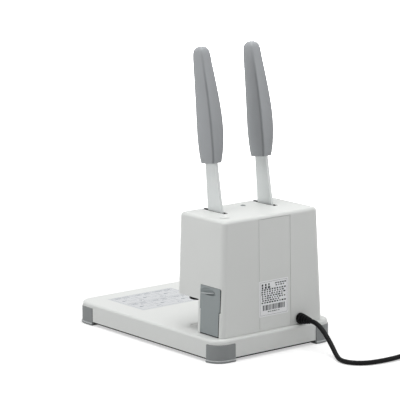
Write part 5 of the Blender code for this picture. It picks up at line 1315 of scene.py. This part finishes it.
# Share of the plug's length, width and thickness there; share of a pin's length and of its section
PLUG_PROFILE = (
    (0.00, PLUG_TAIL * 0.80, PLUG_TAIL * 0.80), (0.04, PLUG_TAIL, PLUG_TAIL), (0.24, PLUG_TAIL, PLUG_TAIL),
    (0.34, PLUG_TAIL * 1.25, PLUG_TAIL * 1.05), (0.52, PLUG_WIDTH, PLUG_THICKNESS),
    (0.93, PLUG_WIDTH, PLUG_THICKNESS), (1.00, PLUG_WIDTH * 0.90, PLUG_THICKNESS * 0.88),
)
PIN_PROFILE = ((0.0, 1.0), (0.88, 1.0), (1.0, 0.7))


def smooth_points(points, spacing):
    """Evenly spaced points on a smooth curve through a route's own points."""
    ends = [2 * points[0] - points[1], *points, 2 * points[-1] - points[-2]]
    dense = []
    for a, b, c, d in zip(ends, ends[1:], ends[2:], ends[3:]):
        for i in range(CURVE_STEPS):
            t = i / CURVE_STEPS
            dense.append(0.5 * (
                2 * b + (c - a) * t + (2 * a - 5 * b + 4 * c - d) * t ** 2 + (3 * b - a - 3 * c + d) * t ** 3
            ))
    dense.append(ends[-2])
    lengths = [0.0]
    for a, b in zip(dense, dense[1:]):
        lengths.append(lengths[-1] + (b - a).length)
    count = max(2, round(lengths[-1] / spacing))
    even, k = [], 0
    for i in range(count + 1):
        target = lengths[-1] * i / count
        while k < len(lengths) - 2 and lengths[k + 1] < target:
            k += 1
        even.append(dense[k].lerp(dense[k + 1], (target - lengths[k]) / (lengths[k + 1] - lengths[k])))
    return even


def eased(share):
    return (3 - 2 * share) * share ** 2


def coil_points():
    """The coil in two layers, in and out again, then its free end."""
    outer = COIL_MEAN_RADIUS + COIL_PITCH * COIL_TURNS / 4
    total = round(COIL_TURNS * COIL_STEPS)
    climb = COIL_STEPS / 4
    points = []
    for i in range(total + 1):
        turns = i / COIL_STEPS
        angle = radians(COIL_START_ANGLE) - 2 * pi * turns
        rise = min(1.0, max(0.0, (i - total / 2 + climb) / (2 * climb)))
        radius = outer - COIL_PITCH * min(turns, COIL_TURNS - turns)
        height = CORD_RADIUS + COIL_LIFT + COIL_PITCH * eased(rise)
        points.append(COIL_CENTRE + Vector((radius * cos(angle), radius * sin(angle), height)))
    lead = (points[0] - points[1]).normalized()
    lead.z = 0
    return [points[0] + lead * COIL_LEAD] + points + coil_tail(points[-1], points[-1] - points[-2])


def coil_tail(start, along):
    """The cord's free end, which drops from the coil to the plug on the floor."""
    heading = Vector((along.x, along.y, 0)).normalized()
    outward = Vector((-heading.y, heading.x, 0))
    drop = start.z - PLUG_THICKNESS / 2 - CORD_GAP
    tail = []
    for k in range(1, TAIL_STEPS + 1):
        share = k / TAIL_STEPS
        turn = TAIL_TURN * share
        place = start + TAIL_RADIUS * (heading * sin(turn) + outward * (1 - cos(turn)))
        place.z = start.z - drop * eased(share)
        tail.append(place)
    return tail + [tail[-1] + (heading * cos(TAIL_TURN) + outward * sin(TAIL_TURN)) * COIL_LEAD]


def boot_point(distance):
    return BOOT_PLACE + Vector((0.0, distance, 0.0))


def build_boot():
    """A tapered boot with ribs, its collar on the housing's rear wall."""
    rings = [
        [boot_point(along) + Vector((radius * cos(a), 0.0, radius * sin(a))) for a in round_angles(BOOT_SIDES)]
        for along, radius in BOOT_PROFILE
    ]
    core = smooth_by_angle(loft("boot_core", rings, "black_moulding"), GRIP_ANGLE)
    step = BOOT_LENGTH / (BOOT_RIBS + 1)
    place = Matrix.Translation(boot_point(step * RIB_START)) @ Matrix.Rotation(-pi / 2, 4, "X")
    ribs = grown("rib_set", "boot_ribs", "black_moulding", place, {
        "Count": BOOT_RIBS, "Step": step, "First Radius": RIB_RADII[0], "Last Radius": RIB_RADII[1],
        "Width": step * RIB_WIDTH, "Draft": RIB_DRAFT,
    })
    return join_pieces([core, smooth_by_angle(ribs)], "cord_boot")


def build_plug(end, along):
    """A moulded two-pin plug, its back at the cord's end."""
    across = Vector((-along.y, along.x, 0.0))
    up = Vector((0.0, 0.0, 1.0))
    start = end + along * CORD_GAP

    def ring(middle, outline):
        return [middle + across * x + up * y for x, y in outline]

    rings = [
        ring(start + along * share * PLUG_BODY, rounded_outline(width, thickness, thickness * PLUG_CORNER, FINE))
        for share, width, thickness in PLUG_PROFILE
    ]
    pieces = [smooth_by_angle(loft("plug_body", rings, "black_moulding"), PLUG_ANGLE)]
    for side in (-1, 1):
        root = start + along * PLUG_BODY * (1 - PIN_ROOT) + across * side * PIN_SPREAD
        rings = []
        for reach, share in PIN_PROFILE:
            outline = rounded_outline(PIN_THICKNESS * share, PIN_WIDTH * share, PIN_THICKNESS * PIN_CORNER, COARSE)
            rings.append(ring(root + along * reach * (PIN_LENGTH + PLUG_BODY * PIN_ROOT), outline))
        pieces.append(loft("pin", rings, "turned_brass"))
    return join_pieces(pieces, "moulded_plug")


class MACHINE_OT_mains_cord(bpy.types.Operator):
    """Lays the mains cord, its boot, coil, band and plug"""

    bl_idname = "machine.mains_cord"
    bl_label = "Mains cord"

    def execute(self, context):
        coil = coil_points()
        exit_place = boot_point(BOOT_LENGTH + CORD_GAP)
        lead = boot_point(BOOT_LENGTH + CORD_GAP + CORD_RADIUS)
        before = coil[0] - (coil[1] - coil[0]).normalized() * 2 * CORD_RADIUS
        route = [lead, *(Vector(point) for point in CORD_ROUTE), before]
        points = [exit_place, *smooth_points(route, 2 * CORD_RADIUS), *coil]
        cord = tube_curve("mains_cord", points, CORD_RADIUS, "black_moulding", CORD_SIDES)
        stand_for(cord, "stand", "black_plastic", "cord_run", "cord_coil")
        along = (coil[-1] - coil[-2]).normalized()
        plug = stand_for(build_plug(coil[-1], along), "stand", "black_plastic", "mains_plug")
        boot = stand_for(build_boot(), "stand", "black_plastic", "strain_relief")
        band = softened("cord_tie", "rubber_band", "black_moulding", 0.5)
        return {"FINISHED"}


class MACHINE_PT_panel(bpy.types.Panel):
    """Lists the machine's pieces, finishes and sizes in the sidebar"""

    bl_idname = "MACHINE_PT_panel"
    bl_label = "Binding machine"
    bl_space_type = "VIEW_3D"
    bl_region_type = "UI"
    bl_category = "Machine"

    def draw(self, context):
        layout = self.layout
        for operator in OPERATORS:
            layout.operator(operator.bl_idname)
        for group in (context.scene.machine_finishes, context.scene.machine_details):
            box = layout.box()
            for name in group.__annotations__:
                box.prop(group, name)


OPERATORS = (
    MACHINE_OT_stage, MACHINE_OT_base, MACHINE_OT_base_panel, MACHINE_OT_housing, MACHINE_OT_rear_label,
    MACHINE_OT_drawer, MACHINE_OT_levers, MACHINE_OT_inner_frame, MACHINE_OT_drill_unit,
    MACHINE_OT_press_unit, MACHINE_OT_electrical, MACHINE_OT_mains_cord,
)
CLASSES = (MachineFinishes, MachineDetails, *OPERATORS, MACHINE_PT_panel)


def register():
    for entry in CLASSES:
        bpy.utils.register_class(entry)
    bpy.types.Scene.machine_finishes = PointerProperty(type=MachineFinishes)
    bpy.types.Scene.machine_details = PointerProperty(type=MachineDetails)


def unregister():
    del bpy.types.Scene.machine_details
    del bpy.types.Scene.machine_finishes
    for entry in reversed(CLASSES):
        bpy.utils.unregister_class(entry)


def main():
    register()
    for operator in OPERATORS:
        group, name = operator.bl_idname.split(".")
        getattr(getattr(bpy.ops, group), name)()


if __name__ == "__main__":
    main()
